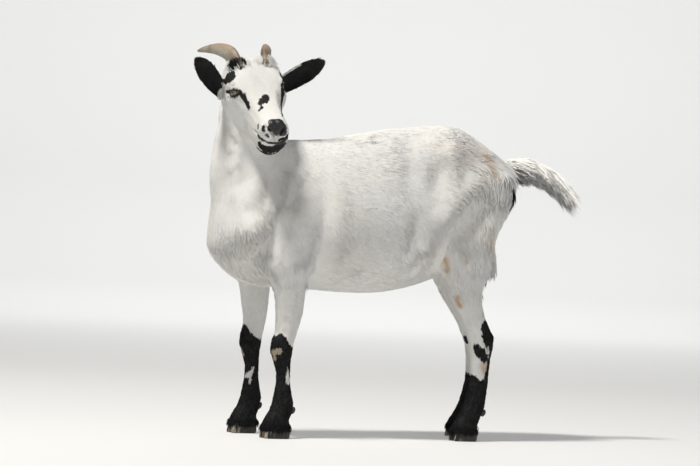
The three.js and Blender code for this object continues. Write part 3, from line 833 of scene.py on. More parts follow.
def marksAndPaintedShade(points, owners):    # how far inside each marking a point is, or how much of it there is; the grey holds painted shade too
    body = (points - bodyZero) * 1000
    head = toHead(points) * 1000
    isOf = nodesOf(owners)
    inHead = isOf["head"] | isOf["neck"]

    def marked(kind):
        ofBody = patchDistance(body, bodyMarks.get(kind, ()))
        return np.where(inHead, patchDistance(head, headMarks.get(kind, ())), ofBody)

    jag = (softNoise(body, 9, 3) * 1.3 + softNoise(body, 4.2, 4) * 0.7) * np.where(inHead, 0.5, 0.8)
    black, white, grey, callus = (marked(kind) for kind in ("black", "white", "grey", "callus"))
    bare = np.maximum(marked("pad"), marked("lips"))
    for sign in (-1, 1):
        span, a, b = eyePlane(head, sign)
        off = lidDistance(a, b)
        wide, reach = eyeRim["black"]
        black = np.where(inHead & (span < reach), np.maximum(black, wide - off), black)
        wide, reach = eyeRim["bare"]
        bare = np.where(inHead & (span < reach), np.maximum(bare, wide - off), bare)
    for name, (along, high) in stockings.items():
        low = np.interp(body[:, 1], along, high) - body[:, 2]
        black = np.where(isOf[name], np.maximum(black, low), black)
    for name, shift in hockShift.items():
        rear = body[:, 1] - shift - np.interp(body[:, 2], *hockBlack)
        rear = np.where((body[:, 2] > hockHeights[0]) & (body[:, 2] < hockHeights[1]), rear, farOff)
        black = np.where(isOf[name], np.maximum(black, rear), black)
    for name, (root, way) in earPoses.items():
        along = (body - root) @ way
        black = np.where(isOf[name], along + earBlack[name], black)
    black = np.minimum(black + jag * (np.abs(black) < 6), -white + jag * 0.5)
    black = np.maximum(black, bare)
    callus = callus - 0.8
    tan = np.clip(0.5 + np.maximum(marked("tan"), marked("callus")) / 8, 0, 1) * 0.8
    tan = tan * (1 + 0.3 * softNoise(body, 12, 5))
    tan += 0.17 * bell(body, (72, 225, 600), (70, 75, 38)) * (1 + 0.7 * softNoise(body, 16, 8))
    paintedForeheadShade = np.where(isOf["head"], 0.34 * bell(head, (50, 0, 0), (80, 48, 40)), 0)    # painted shade, greying the forehead and the front of the face where the light falls full on them
    grey = np.clip(0.5 + grey / 8, 0, 1) * (0.6 + 0.4 * softNoise(body, 7, 9))
    return {
        "black": np.where(callus + jag * 0.3 > 0, -3, black),
        "tan": np.clip(np.where(callus > -1, 1.0, tan), 0, 1),
        "grey": np.clip(grey + paintedForeheadShade * (1 + 0.12 * softNoise(body, 19, 11)), 0, 1),
        "bare": np.clip(0.5 + bare / 1.6, 0, 1),
        "bald": np.clip(0.5 + callus / 1.5, 0, 1),
    }


def hairLie(points, normals):    # the way the hair lies
    body = points - bodyZero
    x, y, z = body.T
    side = np.clip(x / 0.05, -1, 1)
    lie = np.zeros_like(points)

    def along(mask, dx, dy, dz):
        lie[mask] = np.stack(np.broadcast_arrays(dx, dy, dz, x)[:3], 1)[mask]

    shoulder = 1 - smoothStep(y, -0.20, -0.06)
    rump = smoothStep(y, 0.10, 0.26)
    lower = smoothStep(0.60 - z, 0.0, 0.16)
    down = 0.18 + 0.30 * lower + 0.75 * shoulder * lower + 0.75 * rump * lower
    waist = np.exp(-((y - 0.10) / 0.035) ** 2) * smoothStep(0.50 - z, 0, 0.06)
    along(isNode["trunk"], side * 0.12 * (1 - 2 * rump), 1 - 0.35 * rump * lower, -down - 0.8 * waist)
    along(isNode["trunk"] & (normals[:, 1] < -0.35), side * 0.15, 0.15, -1.0)    # the chest
    along(isNode["neck"], side * 0.08, 0.22, -1.0)
    along(region(*foreLegNodes), 0.0, 0.30 * smoothStep(z, 0.30, 0.42), -1.0)
    thigh = smoothStep(z, 0.33, 0.42)
    shank = smoothStep(z, 0.20, 0.25) * (1 - thigh)
    backward = thigh * (0.55 - 1.05 * smoothStep(y, 0.22, 0.32)) + 0.32 * shank
    along(region(*hindLegNodes), 0.0, backward - 0.06 * (1 - shank) * (1 - thigh), -1.0)
    local = toHead(points) * 1000
    flank = np.clip(local[:, 1] / 40, -1, 1)
    under = smoothStep(-local[:, 2], 30, 90)
    headWay = np.stack([-np.ones(len(points)), 0.30 * flank, -0.25 - 0.15 * under], 1) @ headTurn.T
    lie[isNode["head"]] = headWay[isNode["head"]]
    for name, (_, way) in earPoses.items():
        lie[isNode[name]] = way
    tail = isNode["tail"]
    share, out, axis = dockFrame(body[tail])
    lie[tail] = axis + out * (0.16, 0.10, 0.10) + out * (share * share)[:, None] * (0.16, 0.0, 0.16)
    lie = unit(lie)
    for _ in range(30):
        lie = 0.35 * lie + 0.65 * average(lie)
    lie = lie - normals * (lie * normals).sum(1)[:, None]
    return unit(lie)


normals = unit(spread(readNormals(skin.data), 3))
inTail = isNode["tail"]
dockPart = np.zeros(len(co))
dockPart[inTail], normals[inTail], _ = dockFrame(co[inTail] - bodyZero)
lie = hairLie(co, normals)
print("hair laid")


coatColours = {
    "white": (0.82, 0.815, 0.795), "whiteSkin": (0.80, 0.795, 0.775),
    "tan": (0.60, 0.42, 0.28), "grey": (0.40, 0.395, 0.375), "callus": (0.40, 0.335, 0.25),
    "black": (0.0065, 0.006, 0.006), "blackSheen": (0.017, 0.018, 0.020),
    "bare": (0.014, 0.0135, 0.0145),
    "roughness": 0.76, "specular": 0.13,
}


class Nodes:    # short way to string shader nodes together
    def __init__(self, name):
        self.material = bpy.data.materials.new(name)
        self.material.use_nodes = True
        self.tree = self.material.node_tree
        self.shader = self.tree.nodes["Principled BSDF"]

    def add(self, kind, inputs=None, **settings):
        node = self.tree.nodes.new(f"ShaderNode{kind}")
        for key, value in settings.items():
            setattr(node, key, value)
        for key, value in (inputs or {}).items():
            self.put(node.inputs[key], value)
        return node

    def put(self, socket, value):
        if isinstance(value, bpy.types.NodeSocket):
            self.tree.links.new(value, socket)
        elif isinstance(value, (tuple, list)) and socket.type == "RGBA":
            socket.default_value = (*value[:3], 1)
        else:
            socket.default_value = value

    def math(self, operation, a, b=0.0):
        return self.add("Math", {0: a, 1: b}, operation=operation).outputs[0]

    def plus(self, a, b):
        return self.math("ADD", a, b)

    def times(self, a, b):
        return self.math("MULTIPLY", a, b)

    def vector(self, x, y):
        return self.add("CombineXYZ", {0: x, 1: y}).outputs[0]

    def mix(self, share, a, b, kind="MIX"):
        node = self.add("Mix", data_type="RGBA", blend_type=kind)
        self.put(node.inputs["Factor"], share)
        self.put(node.inputs[6], a)
        self.put(node.inputs[7], b)
        return node.outputs[2]

    def ramp(self, value, low, high, start=0.0, end=1.0):
        limits = {"Value": value, "From Min": low, "From Max": high, "To Min": start, "To Max": end}
        return self.add("MapRange", limits, interpolation_type="SMOOTHSTEP").outputs["Result"]

    def noise(self, vector, scale, detail=2.0, stretch=None):
        if stretch:
            vector = self.add("Mapping", {"Vector": vector, "Scale": stretch}).outputs["Vector"]
        return self.add("TexNoise", {"Vector": vector, "Scale": scale, "Detail": detail}).outputs["Fac"]

    def place(self):
        return self.add("TexCoord").outputs["Object"]

    def attribute(self, name):
        return self.add("Attribute", attribute_name=name).outputs["Fac"]

    def bump(self, height, strength, distance):
        inputs = {"Height": height, "Strength": strength, "Distance": distance}
        return self.add("Bump", inputs).outputs["Normal"]

    def set(self, **sockets):
        for key, value in sockets.items():
            self.put(self.shader.inputs[key.replace("_", " ")], value)


def darker(colour, *shares):    # one share for all, or one for each of red, green and blue
    return tuple(c * k for c, k in zip(colour, shares * 3))


def coatColour(n, white):
    place, strand = n.place(), n.attribute("strand")
    cloud = n.noise(place, 9.0, 3.0)
    fine = n.noise(place, 70.0, 2.0)
    tone = n.mix(n.ramp(cloud, 0.35, 0.7), white, darker(white, 0.985, 0.97, 0.94))
    for key, colour in (("tan", "tan"), ("bald", "callus"), ("grey", "grey")):
        tone = n.mix(n.attribute(key), tone, coatColours[colour])
    # strand: each tuft's own tone, with painted shade at the roots and painted light on the tail's hair
    shade = n.plus(n.plus(n.times(strand, 0.16), n.times(fine, 0.07)), 0.86)
    tone = n.mix(1.0, tone, n.add("CombineColor", {0: shade, 1: shade, 2: shade}).outputs[0], "MULTIPLY")
    sheen = n.times(strand, n.ramp(fine, 0.3, 0.75))
    return place, tone, n.mix(sheen, coatColours["black"], coatColours["blackSheen"])


def makeSkinMaterial():
    n = Nodes("skin")
    place, tone, dark = coatColour(n, coatColours["whiteSkin"])
    bare = n.attribute("bare")
    cobbles = n.add("TexVoronoi", {"Vector": place, "Scale": 620.0}, feature="SMOOTH_F1").outputs["Distance"]
    leather = n.mix(n.ramp(cobbles, 0.1, 0.8), coatColours["bare"], darker(coatColours["bare"], 2.6))
    colour = n.mix(bare, n.mix(n.ramp(n.attribute("black"), -0.9, 0.9), tone, dark), leather)
    height = n.plus(n.times(n.noise(place, 420.0, 3.0), 0.6), n.times(cobbles, bare))
    n.set(Base_Color=colour, Roughness=n.ramp(bare, 0, 1, coatColours["roughness"], 0.33),
          Normal=n.bump(height, 0.5, 0.0012), Specular_IOR_Level=0.4)
    return n.material


def makeCoatMaterial():
    n = Nodes("coat")
    _, tone, dark = coatColour(n, coatColours["white"])
    colour = n.mix(n.ramp(n.attribute("black"), -0.5, 0.5), tone, dark)
    n.set(Base_Color=colour, Roughness=coatColours["roughness"], Specular_IOR_Level=coatColours["specular"])
    return n.material


def addAttribute(mesh, name, values):
    attribute = mesh.attributes.new(name, "FLOAT", "POINT")
    attribute.data.foreach_set("value", np.asarray(values, np.float32))


skinMaterial = makeSkinMaterial()
coatMaterial = makeCoatMaterial()

# unwrap the skin, and note on it where each marking and the painted shade is
editAll(skin, bpy.ops.uv.smart_project, angle_limit=1.15, island_margin=0.002)
skin.data.uv_layers[0].name = "OFBake"
skinMarks = marksAndPaintedShade(co, owner)
for name, amount in skinMarks.items():
    addAttribute(skin.data, name, amount)
addAttribute(skin.data, "strand", np.full(len(co), 0.4))


def skinSurface():    # the corners of each triangle, and their places on the unwrap
    mesh = skin.data
    mesh.calc_loop_triangles()
    spots = readArray(mesh.uv_layers[0].data, "uv", 2, np.float32)
    triangles = mesh.loop_triangles
    return readArray(triangles, "vertices", 3), spots[readArray(triangles, "loops", 3)]


faces, faceSpots = skinSurface()
faceSides = co[faces[:, 1]] - co[faces[:, 0]], co[faces[:, 2]] - co[faces[:, 0]]
faceArea = 0.5 * np.linalg.norm(np.cross(*faceSides), axis=1)
faceOwner = owner[faces[:, 0]]


def sow(share, count, rng):
    weight = faceArea * share[faces].mean(1)
    total = np.cumsum(weight)
    steps = (np.arange(count) + rng.random(count)) * total[-1] / count    # even, with a little chance
    face = np.minimum(np.searchsorted(total, steps), len(faces) - 1)
    u, v = np.sqrt(rng.random(count)), rng.random(count)
    parts = np.stack([1 - u, u * (1 - v), u * v], 1)
    return face, parts


def blend(values, face, parts):
    picked = values[faces[face]]
    return (picked * (parts if values.ndim == 1 else parts[:, :, None])).sum(1)


# a tuft's own shape, in metres; each part of the coat changes what it needs
tuftShape = {
    "stray": 0.10, "clump": 0.035, "clumpTurn": 0.10,    # how far it turns aside, alone and with the rest
    "lift": 0.0, "flick": -0.35, "fall": 0.0, "wave": 0.0, "waves": 1.4,
    "longer": None,                                      # length at each point of the skin
    "rings": 1, "waist": 0.38, "sunk": 0.0006, "round": 0.40,
    "lengths": (0.72, 1.22), "widths": (0.75, 1.25), "depths": (0.45, 1.08),    # from least to most
    "shown": 0.55,                                       # where along it the marking is taken
    "free": False,                                       # clear of the body, and lit as a strand of its own
    # pale: painted light, how much lighter a whole piece is (the tail's, for light shining through fine hair)
    "pale": 0,
}
skyward = (0, 0, 0.8)    # how much a strand's light comes from above


def growTufts(name, face, parts, sizes, seed):
    rng = np.random.default_rng(seed + 500)
    count, rings, sunk = len(face), sizes["rings"], sizes["sunk"]
    root = blend(co, face, parts)
    up = unit(blend(normals, face, parts))
    forward = blend(lie, face, parts)
    forward = unit(forward - up * (forward * up).sum(1)[:, None])
    aside = np.cross(forward, up)
    turn = rng.normal(0, sizes["stray"], count)
    body = root - bodyZero
    angle = (turn + softNoise(body, sizes["clump"], 21) * sizes["clumpTurn"])[:, None]
    forward = forward * np.cos(angle) + aside * np.sin(angle)
    aside = np.cross(forward, up)
    forward = unit(forward + up * sizes["lift"])
    length = sizes["length"] * rng.uniform(*sizes["lengths"], count)
    if sizes["longer"] is not None:
        length = length * blend(sizes["longer"], face, parts)
    width = sizes["width"] * rng.uniform(*sizes["widths"], count)
    depth = sizes["depth"] * rng.uniform(*sizes["depths"], count)
    marks = marksAndPaintedShade(root + forward * (length * sizes["shown"])[:, None] + up * 0.001, faceOwner[face])
    steps = np.linspace(0, 1, rings + 2)[1:-1] if rings > 1 else np.array([sizes["waist"]])
    phase = softNoise(body, 0.05, 31) * 2.2 + rng.normal(0, 0.35, count)

    def path(t):
        rise = 1 - (1 - np.minimum(t / 0.45, 1)) ** 2
        high = depth * rise * (1 + sizes["flick"] * t)
        place = root + forward * (length * t)[:, None] + up * (high - sunk)[:, None]
        place = place + np.array((0, 0, -1.0)) * (sizes["fall"] * length * t * t)[:, None]
        swing = sizes["wave"] * np.sin(phase + t * sizes["waves"] * 2 * math.pi) * np.minimum(t * 2.5, 1)
        return place + aside * swing[:, None] + up * (0.4 * np.abs(swing))[:, None]

    points = np.empty((count, 2 + 3 * len(steps), 3))
    facing = np.empty_like(points)
    points[:, 0], points[:, -1] = root - up * sunk * 1.5, path(np.ones(count))
    facing[:, 0] = up
    for index, t in enumerate(steps):
        middle = path(np.full(count, t))
        run = unit(path(np.full(count, min(t + 0.06, 1.0))) - path(np.full(count, t - 0.06)))
        high = unit(up - run * (up * run).sum(1)[:, None])
        fullness = 1.0 if rings == 1 else (0.55 + 1.4 * t) * (1 - t) ** 0.75 * 1.25
        half = (width * fullness / 2)[:, None]
        first = 1 + 3 * index
        points[:, first] = middle - aside * half
        points[:, first + 1] = middle + aside * half
        points[:, first + 2] = middle + high * half * 0.9
        if sizes["free"]:
            facing[:, first] = -aside * 0.6 - high * 0.1 + skyward
            facing[:, first + 1] = aside * 0.6 - high * 0.1 + skyward
            facing[:, first + 2] = high * 0.7 + skyward
        else:
            facing[:, first] = high - aside * sizes["round"]
            facing[:, first + 1] = high + aside * sizes["round"]
            facing[:, first + 2] = high + forward * 0.1
    facing[:, -1] = high
    spots = blendSpots(face, parts)
    makeTuftMesh(name, points, unit(facing), len(steps), spots, marks, rng, sizes["pale"])


def blendSpots(face, parts):
    return (faceSpots[face] * parts[:, :, None]).sum(1)


def tuftFaces(rings):
    last = 1 + 3 * rings
    shape = []
    for i in range(3):
        j = (i + 1) % 3
        shape.append((0, 1 + i, 1 + j))
        shape.append((last, last - 3 + j, last - 3 + i))
        for ring in range(rings - 1):
            a, b = 1 + 3 * ring, 4 + 3 * ring
            shape.append((a + j, a + i, b + i))
            shape.append((a + j, b + i, b + j))
    return np.array(shape)


coatPieces = []
# each tuft's own patch of the skin's unwrap, how ragged a marking's edge is, how tufts differ in tone, and
# how much lighter the tip is than the root (painted shade at the roots)
tuftLook = {"patch": 0.003, "jitter": 0.7, "tone": 0.8, "paintedRootShade": 0.25}


def makeTuftMesh(name, points, facing, rings, spots, marks, rng, pale):
    count, each = points.shape[:2]
    corners = (tuftFaces(rings)[None] + (np.arange(count) * each)[:, None, None]).reshape(-1)
    mesh = bpy.data.meshes.new(name)
    mesh.vertices.add(count * each)
    mesh.vertices.foreach_set("co", points.astype(np.float32).ravel())
    mesh.loops.add(len(corners))
    mesh.loops.foreach_set("vertex_index", corners.astype(np.int32))
    mesh.polygons.add(len(corners) // 3)
    mesh.polygons.foreach_set("loop_start", np.arange(0, len(corners), 3, dtype=np.int32))
    mesh.polygons.foreach_set("use_smooth", np.ones(len(corners) // 3, bool))
    mesh.update(calc_edges=True)
    across = np.linspace(0, 1, each)
    patch = tuftLook["patch"]
    own = np.stack([across, (np.arange(each) * 0.37) % 1.0], 1) * patch - patch / 2
    mesh.uv_layers.new(name="OFBake")
    where = (spots[:, None, :] + own[None]).reshape(-1, 2)[corners]
    mesh.uv_layers[0].data.foreach_set("uv", np.clip(where, 0, 1).astype(np.float32).ravel())
    jitter = rng.normal(0, tuftLook["jitter"], count)
    for key in ("black", "tan", "grey", "bald"):
        value = marks[key] + (jitter if key == "black" else 0)
        addAttribute(mesh, key, np.repeat(value, each))
    tone = rng.random(count)[:, None] * tuftLook["tone"]
    # tips lighter than roots, painted shade at the roots; pale adds painted light to a whole piece (the
    # tail's, for light shining through its hair)
    tone = tone + np.linspace(0.0, tuftLook["paintedRootShade"], each)[None] + pale
    addAttribute(mesh, "strand", tone.ravel())
    mesh.normals_split_custom_set_from_vertices(facing.reshape(-1, 3).astype(np.float32))
    mesh.materials.append(coatMaterial)
    coatPieces.append(addObject(name, mesh))
    print(name, count, "tufts", len(corners) // 3, "triangles")


def grow(name, share, count, seed, **changes):
    face, parts = sow(share * hairy, count, np.random.default_rng(seed))
    growTufts(name, face, parts, {**tuftShape, **changes}, seed)


bodyPlace = co - bodyZero
headPlace = toHead(co) * 1000
hairy = 1 - smoothStep(skinMarks["bare"], 0.1, 0.5)
hairy = hairy * smoothStep(bodyPlace[:, 2], 0.016, 0.022)
hairy = hairy * (1 - 0.8 * skinMarks["bald"])
for sign in (1, -1):    # none on the lids' edges
    span, a, b = eyePlane(headPlace, sign)
    hairy = hairy * np.where(span < eyeRim["bare"][1], smoothStep(lidDistance(a, b), 3.4, 5.0), 1)
trunk = isNode["trunk"]
foreLegs = region(*foreLegNodes)
hindLegs = region(*hindLegNodes)
lowLeg = 1 - smoothStep(bodyPlace[:, 2], 0.30, 0.38)
front = 1 - smoothStep(bodyPlace[:, 1], -0.02, 0.0)
back = smoothStep(bodyPlace[:, 1], 0.14, 0.16)

# short flat hair: where, how many, length, width, depth, and how far it strays
shortCoat = {
    "trunk_front": (trunk * front, 28000, 0.025, 0.00120, 0.0012, 0.045),
    "trunk_middle": (trunk * (1 - front) * (1 - back), 30000, 0.026, 0.00120, 0.0012, 0.045),
    "trunk_back": (trunk * back, 19000, 0.025, 0.00125, 0.0013, 0.045),
    "neck": (isNode["neck"], 24000, 0.023, 0.00120, 0.0012, 0.045),
    "thighs": (hindLegs * (1 - lowLeg), 21000, 0.025, 0.0013, 0.0026, 0.07),
    "shoulders": (foreLegs * (1 - lowLeg), 14000, 0.023, 0.00120, 0.0012, 0.045),
    "fore_legs": (foreLegs * lowLeg, 16000, 0.009, 0.0011, 0.0014, 0.10),
    "hind_legs": (hindLegs * lowLeg, 17000, 0.010, 0.0011, 0.0014, 0.10),
    "head": (isNode["head"], 28000, 0.0058, 0.0008, 0.0010, 0.10),
    "ears": (region(*earNodes), 9000, 0.0065, 0.0010, 0.0008, 0.10),
}
for seed, (name, (share, count, length, width, depth, stray)) in enumerate(shortCoat.items(), 1):
    grow(f"coat_{name}", share, count, seed, length=length, width=width, depth=depth, stray=stray)

# longer hair, in locks
folded = bothSides(bodyPlace, 0)
legStep = np.interp(bodyPlace[:, 2], (0.25, 0.36, 0.52), (0.048, 0.038, 0.0))    # the right leg is behind
folded[:, 1] -= legStep * (bodyPlace[:, 0] < 0) * isNode["leg_hind_right"]
breech = (hindLegs | trunk) * bell(folded, (0.085, 0.300, 0.470), (0.045, 0.050, 0.085))
grow("locks_breech", breech, 2600, 31, rings=4, length=0.032, width=0.0018, depth=0.0034,
     wave=0.0014, waves=1.2, clumpTurn=0.16, flick=-0.1, round=0.8)
tuftPlace = bell(folded, (0.078, 0.300, 0.378), (0.030, 0.012, 0.026))
grow("locks_thigh", hindLegs * tuftPlace, 420, 32, rings=4, length=0.030, width=0.0020, depth=0.0044,
     wave=0.0010, lift=0.04, stray=0.14, flick=0.0, round=0.7)
# the tail's hair is painted lighter with pale: painted light for the light that shines through it
grow("locks_tail", isNode["tail"] * (0.4 + 1.6 * dockPart), 5000, 33, rings=4, length=0.060, width=0.0018,
     depth=0.0046, wave=0.0014, waves=1.0, lift=0.14, fall=0.42, longer=0.42 + 0.66 * dockPart,
     clump=0.02, clumpTurn=0.06, flick=0.3, free=True, pale=1.5)
brisket = bell(folded, (0.050, -0.265, 0.368), (0.050, 0.034, 0.026))
grow("locks_brisket", region("trunk", "neck", *foreLegNodes) * brisket, 1000, 34, rings=4, length=0.026,
     width=0.0016, depth=0.0030, wave=0.0012, waves=1.2, clumpTurn=0.16, flick=0.0)
coronet = bell(bodyPlace[:, 2:], (0.0255,), (0.0035,)) * (bodyPlace[:, 2] > 0.0195)
grow("locks_coronets", coronet, 1600, 35, rings=2, length=0.0115, width=0.0016, depth=0.0026,
     lift=0.28, fall=0.1, stray=0.14, flick=0.1)
for side, sign in (("left", 1), ("right", -1)):
    cuff = bell(headPlace, (13, sign * 32, 3), (11, 13, 12))
    grow(f"locks_horn_{side}", isNode["head"] * cuff, 1100, 36 + sign, rings=2, length=0.0125,
         width=0.0010, depth=0.0032, lift=0.50, stray=0.12, flick=0.1)


# the eyeballs, in millimetres
irisSizes = {
    "iris": 9.6, "pupilLong": 5.2, "pupilHigh": 1.5, "cornea": 0.9, "corneaReach": 9.5,
    "inner": (0.12, 0.095, 0.022), "outer": (0.30, 0.275, 0.075), "rim": (0.020, 0.016, 0.010),
    "white": (0.11, 0.085, 0.06), "pupil": (0.002, 0.002, 0.002),
    "segments": 64, "rings": 40,
}


def makeEyeMaterial():
    n = Nodes("eye")
    iris = irisSizes["iris"]
    a, b = n.attribute("across"), n.attribute("upward")
    ring = n.math("POWER", n.plus(n.times(a, a), n.times(b, b)), 0.5)
    fibres = n.noise(n.vector(n.times(n.math("ARCTAN2", b, a), 5.0), n.times(ring, 0.25)), 3.0, 4.0)
    colour = n.mix(n.ramp(ring, 2.0, iris * 0.8), irisSizes["inner"], irisSizes["outer"])
    colour = n.mix(n.ramp(fibres, 0.35, 0.7, 0.0, 0.55), colour, irisSizes["inner"])
    colour = n.mix(n.ramp(ring, iris - 1.6, iris - 0.2), colour, irisSizes["rim"])
    colour = n.mix(n.ramp(ring, iris + 0.2, iris + 2.5), colour, irisSizes["white"])
    long, high = (n.math("POWER", n.math("ABSOLUTE", n.math("DIVIDE", way, irisSizes[size])), 4.0)
                  for way, size in ((a, "pupilLong"), (b, "pupilHigh")))
    colour = n.mix(n.ramp(n.plus(long, high), 0.8, 1.25), irisSizes["pupil"], colour)
    n.set(Base_Color=colour, Roughness=0.18, Coat_Weight=1.0, Coat_Roughness=0.03)
    return n.material


def makeEyeball(side, material):
    sign = 1 if side == "left" else -1
    segments, rings = irisSizes["segments"], irisSizes["rings"]
    bpy.ops.mesh.primitive_uv_sphere_add(segments=segments, ring_count=rings, radius=1)
    eye = bpy.context.active_object
    eye.name = f"eyeball_{side}"
    mesh = eye.data
    ball = readPoints(mesh)
    gaze, long, high = eyeAxes(sign)
    radius = eyeSizes["radius"]
    polar = np.arctan2(np.hypot(ball[:, 0], ball[:, 1]), ball[:, 2])
    bulge = irisSizes["cornea"] * np.clip(1 - (radius * polar / irisSizes["corneaReach"]) ** 2, 0, 1)
    turned = ball[:, :1] * long + ball[:, 1:2] * high + ball[:, 2:] * gaze
    points = eyeCentre(sign) + turned * (radius + bulge)[:, None]
    writePoints(mesh, fromHead(points / 1000))
    way = np.arctan2(ball[:, 1], ball[:, 0])
    addAttribute(mesh, "across", radius * polar * np.cos(way))
    addAttribute(mesh, "upward", radius * polar * np.sin(way))
    editAll(eye, bpy.ops.mesh.normals_make_consistent, inside=False)
    return finishPiece(eye, material)


eyeMaterial = makeEyeMaterial()
eyeballs = {side: makeEyeball(side, eyeMaterial) for side in ("left", "right")}
print("eyes made")


# the horns, in millimetres
hornSizes = {
    "root": {"forward": 5, "side": 34, "up": -3}, "rise": {"left": 0.8, "right": 1.0},
    # back, out to the side and up, with the head held level
    "route": [(-8, -3, -16), (0, 0, 0), (14, 4, 18), (44, 17, 31), (79, 32, 33.5), (110, 44, 31.5)],
    "deep": 19.3, "wide": 11.8, "tip": 2.2, "taper": 0.65,
    "turned": 25,                          # degrees, the front edge faces inwards
    "rings": 150, "around": 36,
    "growth": 0.45, "growthEvery": 6.5,    # height of a growth ring and how far apart they are
    "pale": (0.40, 0.36, 0.285), "dark": (0.10, 0.088, 0.06), "warm": (0.34, 0.215, 0.13),
    "tipColour": (0.19, 0.145, 0.10),
    "darker": {"left": 0.75, "right": 0.0},
}


def between(t, low, high, a, b):
    return (high - t) / (high - low) * a + (t - low) / (high - low) * b


def smoothRoute(points, count):    # centripetal curve through the points, evenly spaced
    points = np.asarray(points, float)
    padded = np.vstack([2 * points[0] - points[1], points, 2 * points[-1] - points[-2]])
    found = []
    for k in range(len(points) - 1):
        p = padded[k:k + 4]
        knots = np.concatenate([[0], np.cumsum(np.linalg.norm(np.diff(p, axis=0), axis=1) ** 0.5)])
        for t in np.linspace(knots[1], knots[2], 60, endpoint=False):
            a = [between(t, knots[i], knots[i + 1], p[i], p[i + 1]) for i in range(3)]
            b = [between(t, knots[i], knots[i + 2], a[i], a[i + 1]) for i in range(2)]
            found.append(between(t, knots[1], knots[2], *b))
    found = np.array(found + [points[-1]])
    run = np.concatenate([[0], np.cumsum(np.linalg.norm(np.diff(found, axis=0), axis=1))])
    at = np.linspace(0, run[-1], count)
    return np.stack([np.interp(at, run, found[:, k]) for k in range(3)], 1), at


def makeHorn(side, material):
    sign = 1 if side == "left" else -1
    pitch = math.radians(headPose["pitch"])
    root, rise = hornSizes["root"], hornSizes["rise"][side]
    knots = [(root["forward"] - back * math.cos(pitch) - rise * up * math.sin(pitch),
              sign * (root["side"] + out),
              root["up"] - back * math.sin(pitch) + rise * up * math.cos(pitch))
             for back, out, up in hornSizes["route"]]
    rounds, around = hornSizes["rings"], hornSizes["around"]
    line, run = smoothRoute(knots, rounds)
    along = unit(np.gradient(line, axis=0))
    level = unit(np.array((0, 1, 0)) - along * along[:, 1:2])
    turned = -sign * math.radians(hornSizes["turned"])
    across = level * math.cos(turned) + np.cross(along, level) * math.sin(turned)
    up = np.cross(along, across)
    share = run / run[-1]
    taper = (1 - share) ** hornSizes["taper"]
    least = hornSizes["tip"] * 0.6
    deep = least + (hornSizes["deep"] - least) * taper
    wide = least + (hornSizes["wide"] - least) * taper
    beat = run / hornSizes["growthEvery"] + 0.25 * np.sin(run / 17) + 0.1 * np.sin(run / 5.3 + sign)
    ridge = hornSizes["growth"] * (1 - share) ** 0.5 * (np.abs(np.sin(math.pi * beat)) ** 0.6 - 0.6)
    angles = np.linspace(0, 2 * math.pi, around, endpoint=False)
    keel = 1 + 0.05 * np.cos(angles - math.pi / 2) ** 8
    points = []
    for k in range(rounds):
        rough = 1 + 0.012 * np.sin(3 * angles + run[k] / 9) + 0.01 * np.sin(5 * angles - run[k] / 13)
        ring = ridge[k] * (1 + 0.4 * np.sin(angles * 2 + run[k] / 20))
        points.append(line[k] + across[k] * (np.cos(angles) * (wide[k] * rough + ring))[:, None]
                      + up[k] * (np.sin(angles) * (deep[k] * keel * rough + ring))[:, None])
    points = np.concatenate(points + [line[:1], line[-1:] + along[-1:] * hornSizes["tip"] * 0.7])
    sides = [(i, (i + 1) % around) for i in range(around)]
    faces = [(k + i, k + j, k + around + j, k + around + i)
             for k in range(0, (rounds - 1) * around, around) for i, j in sides]
    for i, j in sides:
        faces.append((rounds * around, j, i))
        faces.append((rounds * around + 1, (rounds - 1) * around + i, (rounds - 1) * around + j))
    mesh = bpy.data.meshes.new(f"horn_fine_{side}")
    mesh.from_pydata(fromHead(points / 1000).tolist(), [], faces)
    horn = addObject(f"horn_fine_{side}", mesh)
    addAttribute(mesh, "run", np.append(np.repeat(share, around), (0, 1)))
    addAttribute(mesh, "turn", np.append(np.tile(np.sin(angles), rounds), (0, 0)))
    addAttribute(mesh, "ringPlace", np.append(np.repeat(run, around), (0, run[-1])))
    editAll(horn, bpy.ops.mesh.normals_make_consistent, inside=False)
    return finishPiece(horn, material)


def makeHornMaterial(side):
    n = Nodes(f"horn{side.capitalize()}")
    run, turn, ring = n.attribute("run"), n.attribute("turn"), n.attribute("ringPlace")
    bands = n.noise(n.vector(n.times(ring, 0.35), n.times(turn, 2.0)), 1.6, 4.0)
    fibre = n.noise(n.vector(n.times(ring, 0.03), n.times(turn, 22.0)), 1.5, 3.0)
    patchy = n.noise(n.place(), 55.0, 4.0)
    colour = n.mix(hornSizes["darker"][side], hornSizes["pale"], hornSizes["dark"])
    # each tone comes in from one value to another, up to a share
    for value, low, high, most, tone in ((bands, 0.35, 0.72, 0.7, darker(hornSizes["pale"], 0.62)),
                                         (turn, 0.2, -0.9, 0.75, hornSizes["warm"]),
                                         (patchy, 0.45, 0.75, 0.55, hornSizes["dark"]),
                                         (fibre, 0.5, 0.8, 0.35, hornSizes["dark"]),
                                         (run, 0.75, 1.0, 0.8, hornSizes["tipColour"]),
                                         (run, 0.34, 0.16, 0.55, darker(hornSizes["dark"], 0.8))):
        colour = n.mix(n.ramp(value, low, high, 0.0, most), colour, tone)
    height = n.plus(n.times(bands, 0.6), n.times(fibre, 0.5))
    roughness = n.ramp(bands, 0.3, 0.7, 0.42, 0.6)
    n.set(Base_Color=colour, Roughness=roughness, Normal=n.bump(height, 0.55, 0.0009))
    return n.material


horns = {side: makeHorn(side, makeHornMaterial(side)) for side in ("left", "right")}
print("horns made")


# claws and dewclaws
hoofSizes = {
    "voxel": 0.0011, "soften": 7, "sole": 0.0011, "dewclawToe": 0.3,
    "dark": (0.012, 0.011, 0.010), "mid": (0.034, 0.029, 0.023), "pale": (0.36, 0.31, 0.23),
}


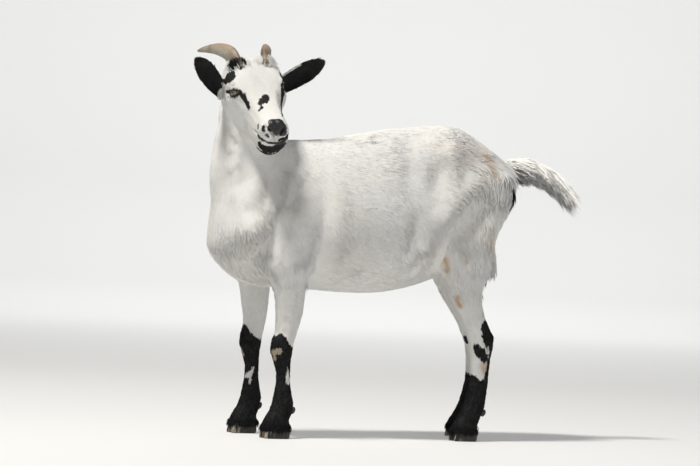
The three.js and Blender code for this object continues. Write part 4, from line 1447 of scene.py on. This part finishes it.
def makeHoofMaterial():
    n = Nodes("hoof")
    place = n.place()
    streaks = n.noise(place, 150.0, 3.0, (1.0, 1.0, 0.16))
    bands = n.noise(place, 160.0, 2.0, (0.12, 0.12, 1.6))
    colour = n.mix(n.ramp(streaks, 0.4, 0.7), hoofSizes["dark"], hoofSizes["mid"])
    show = n.times(n.ramp(streaks, 0.44, 0.60), n.ramp(n.attribute("toe"), 0.60, 0.86))
    show = n.times(show, n.ramp(n.noise(place, 40.0, 3.0), 0.25, 0.45))
    colour = n.mix(show, colour, hoofSizes["pale"])
    height = n.plus(n.times(bands, 0.8), n.times(streaks, 0.5))
    roughness = n.ramp(streaks, 0.3, 0.7, 0.38, 0.55)
    n.set(Base_Color=colour, Roughness=roughness, Normal=n.bump(height, 0.5, 0.0008))
    return n.material


def makeHoof(name, material):
    hoof = copyOfNode(name, f"{name}_fine")
    weld(hoof)
    isClaw = name.startswith("claw")
    remesh(hoof, hoofSizes["voxel"] * (1 if isClaw else 0.8))
    mesh = hoof.data
    points = readPoints(mesh)
    low = points[:, 2].min()
    points = relax(points, averager(mesh), 0.6, hoofSizes["soften"])
    if isClaw:
        points[:, 2] += low - points[:, 2].min()
        points[points[:, 2] < low + hoofSizes["sole"], 2] = low
    writePoints(mesh, points)
    back, ahead = points[:, 1].max(), points[:, 1].min()
    toe = (back - points[:, 1]) / (back - ahead)
    addAttribute(mesh, "toe", toe if isClaw else np.full(len(points), hoofSizes["dewclawToe"]))
    return finishPiece(hoof, material)


hoofMaterial = makeHoofMaterial()
hoofNames = [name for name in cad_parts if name.startswith(("claw", "dewclaw"))]
hooves = {name: makeHoof(name, hoofMaterial) for name in hoofNames}
print(len(hooves), "claws and dewclaws made")


def giveOver(piece, slot, *nodes):
    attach(piece, "root")
    if nodes:
        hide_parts(*nodes)


finishPiece(skin, skinMaterial)
giveOver(skin, "coat_white", *fleshNodes)
for piece in coatPieces:
    giveOver(piece, "coat_black" if piece.name == "coat_ears" else "coat_white")
for side in ("left", "right"):
    giveOver(eyeballs[side], "eye", f"eye_{side}")
    giveOver(horns[side], "horn", f"horn_{side}")
for name, hoof in hooves.items():
    giveOver(hoof, "hoof", name)
bpy.ops.object.select_all(action="DESELECT")
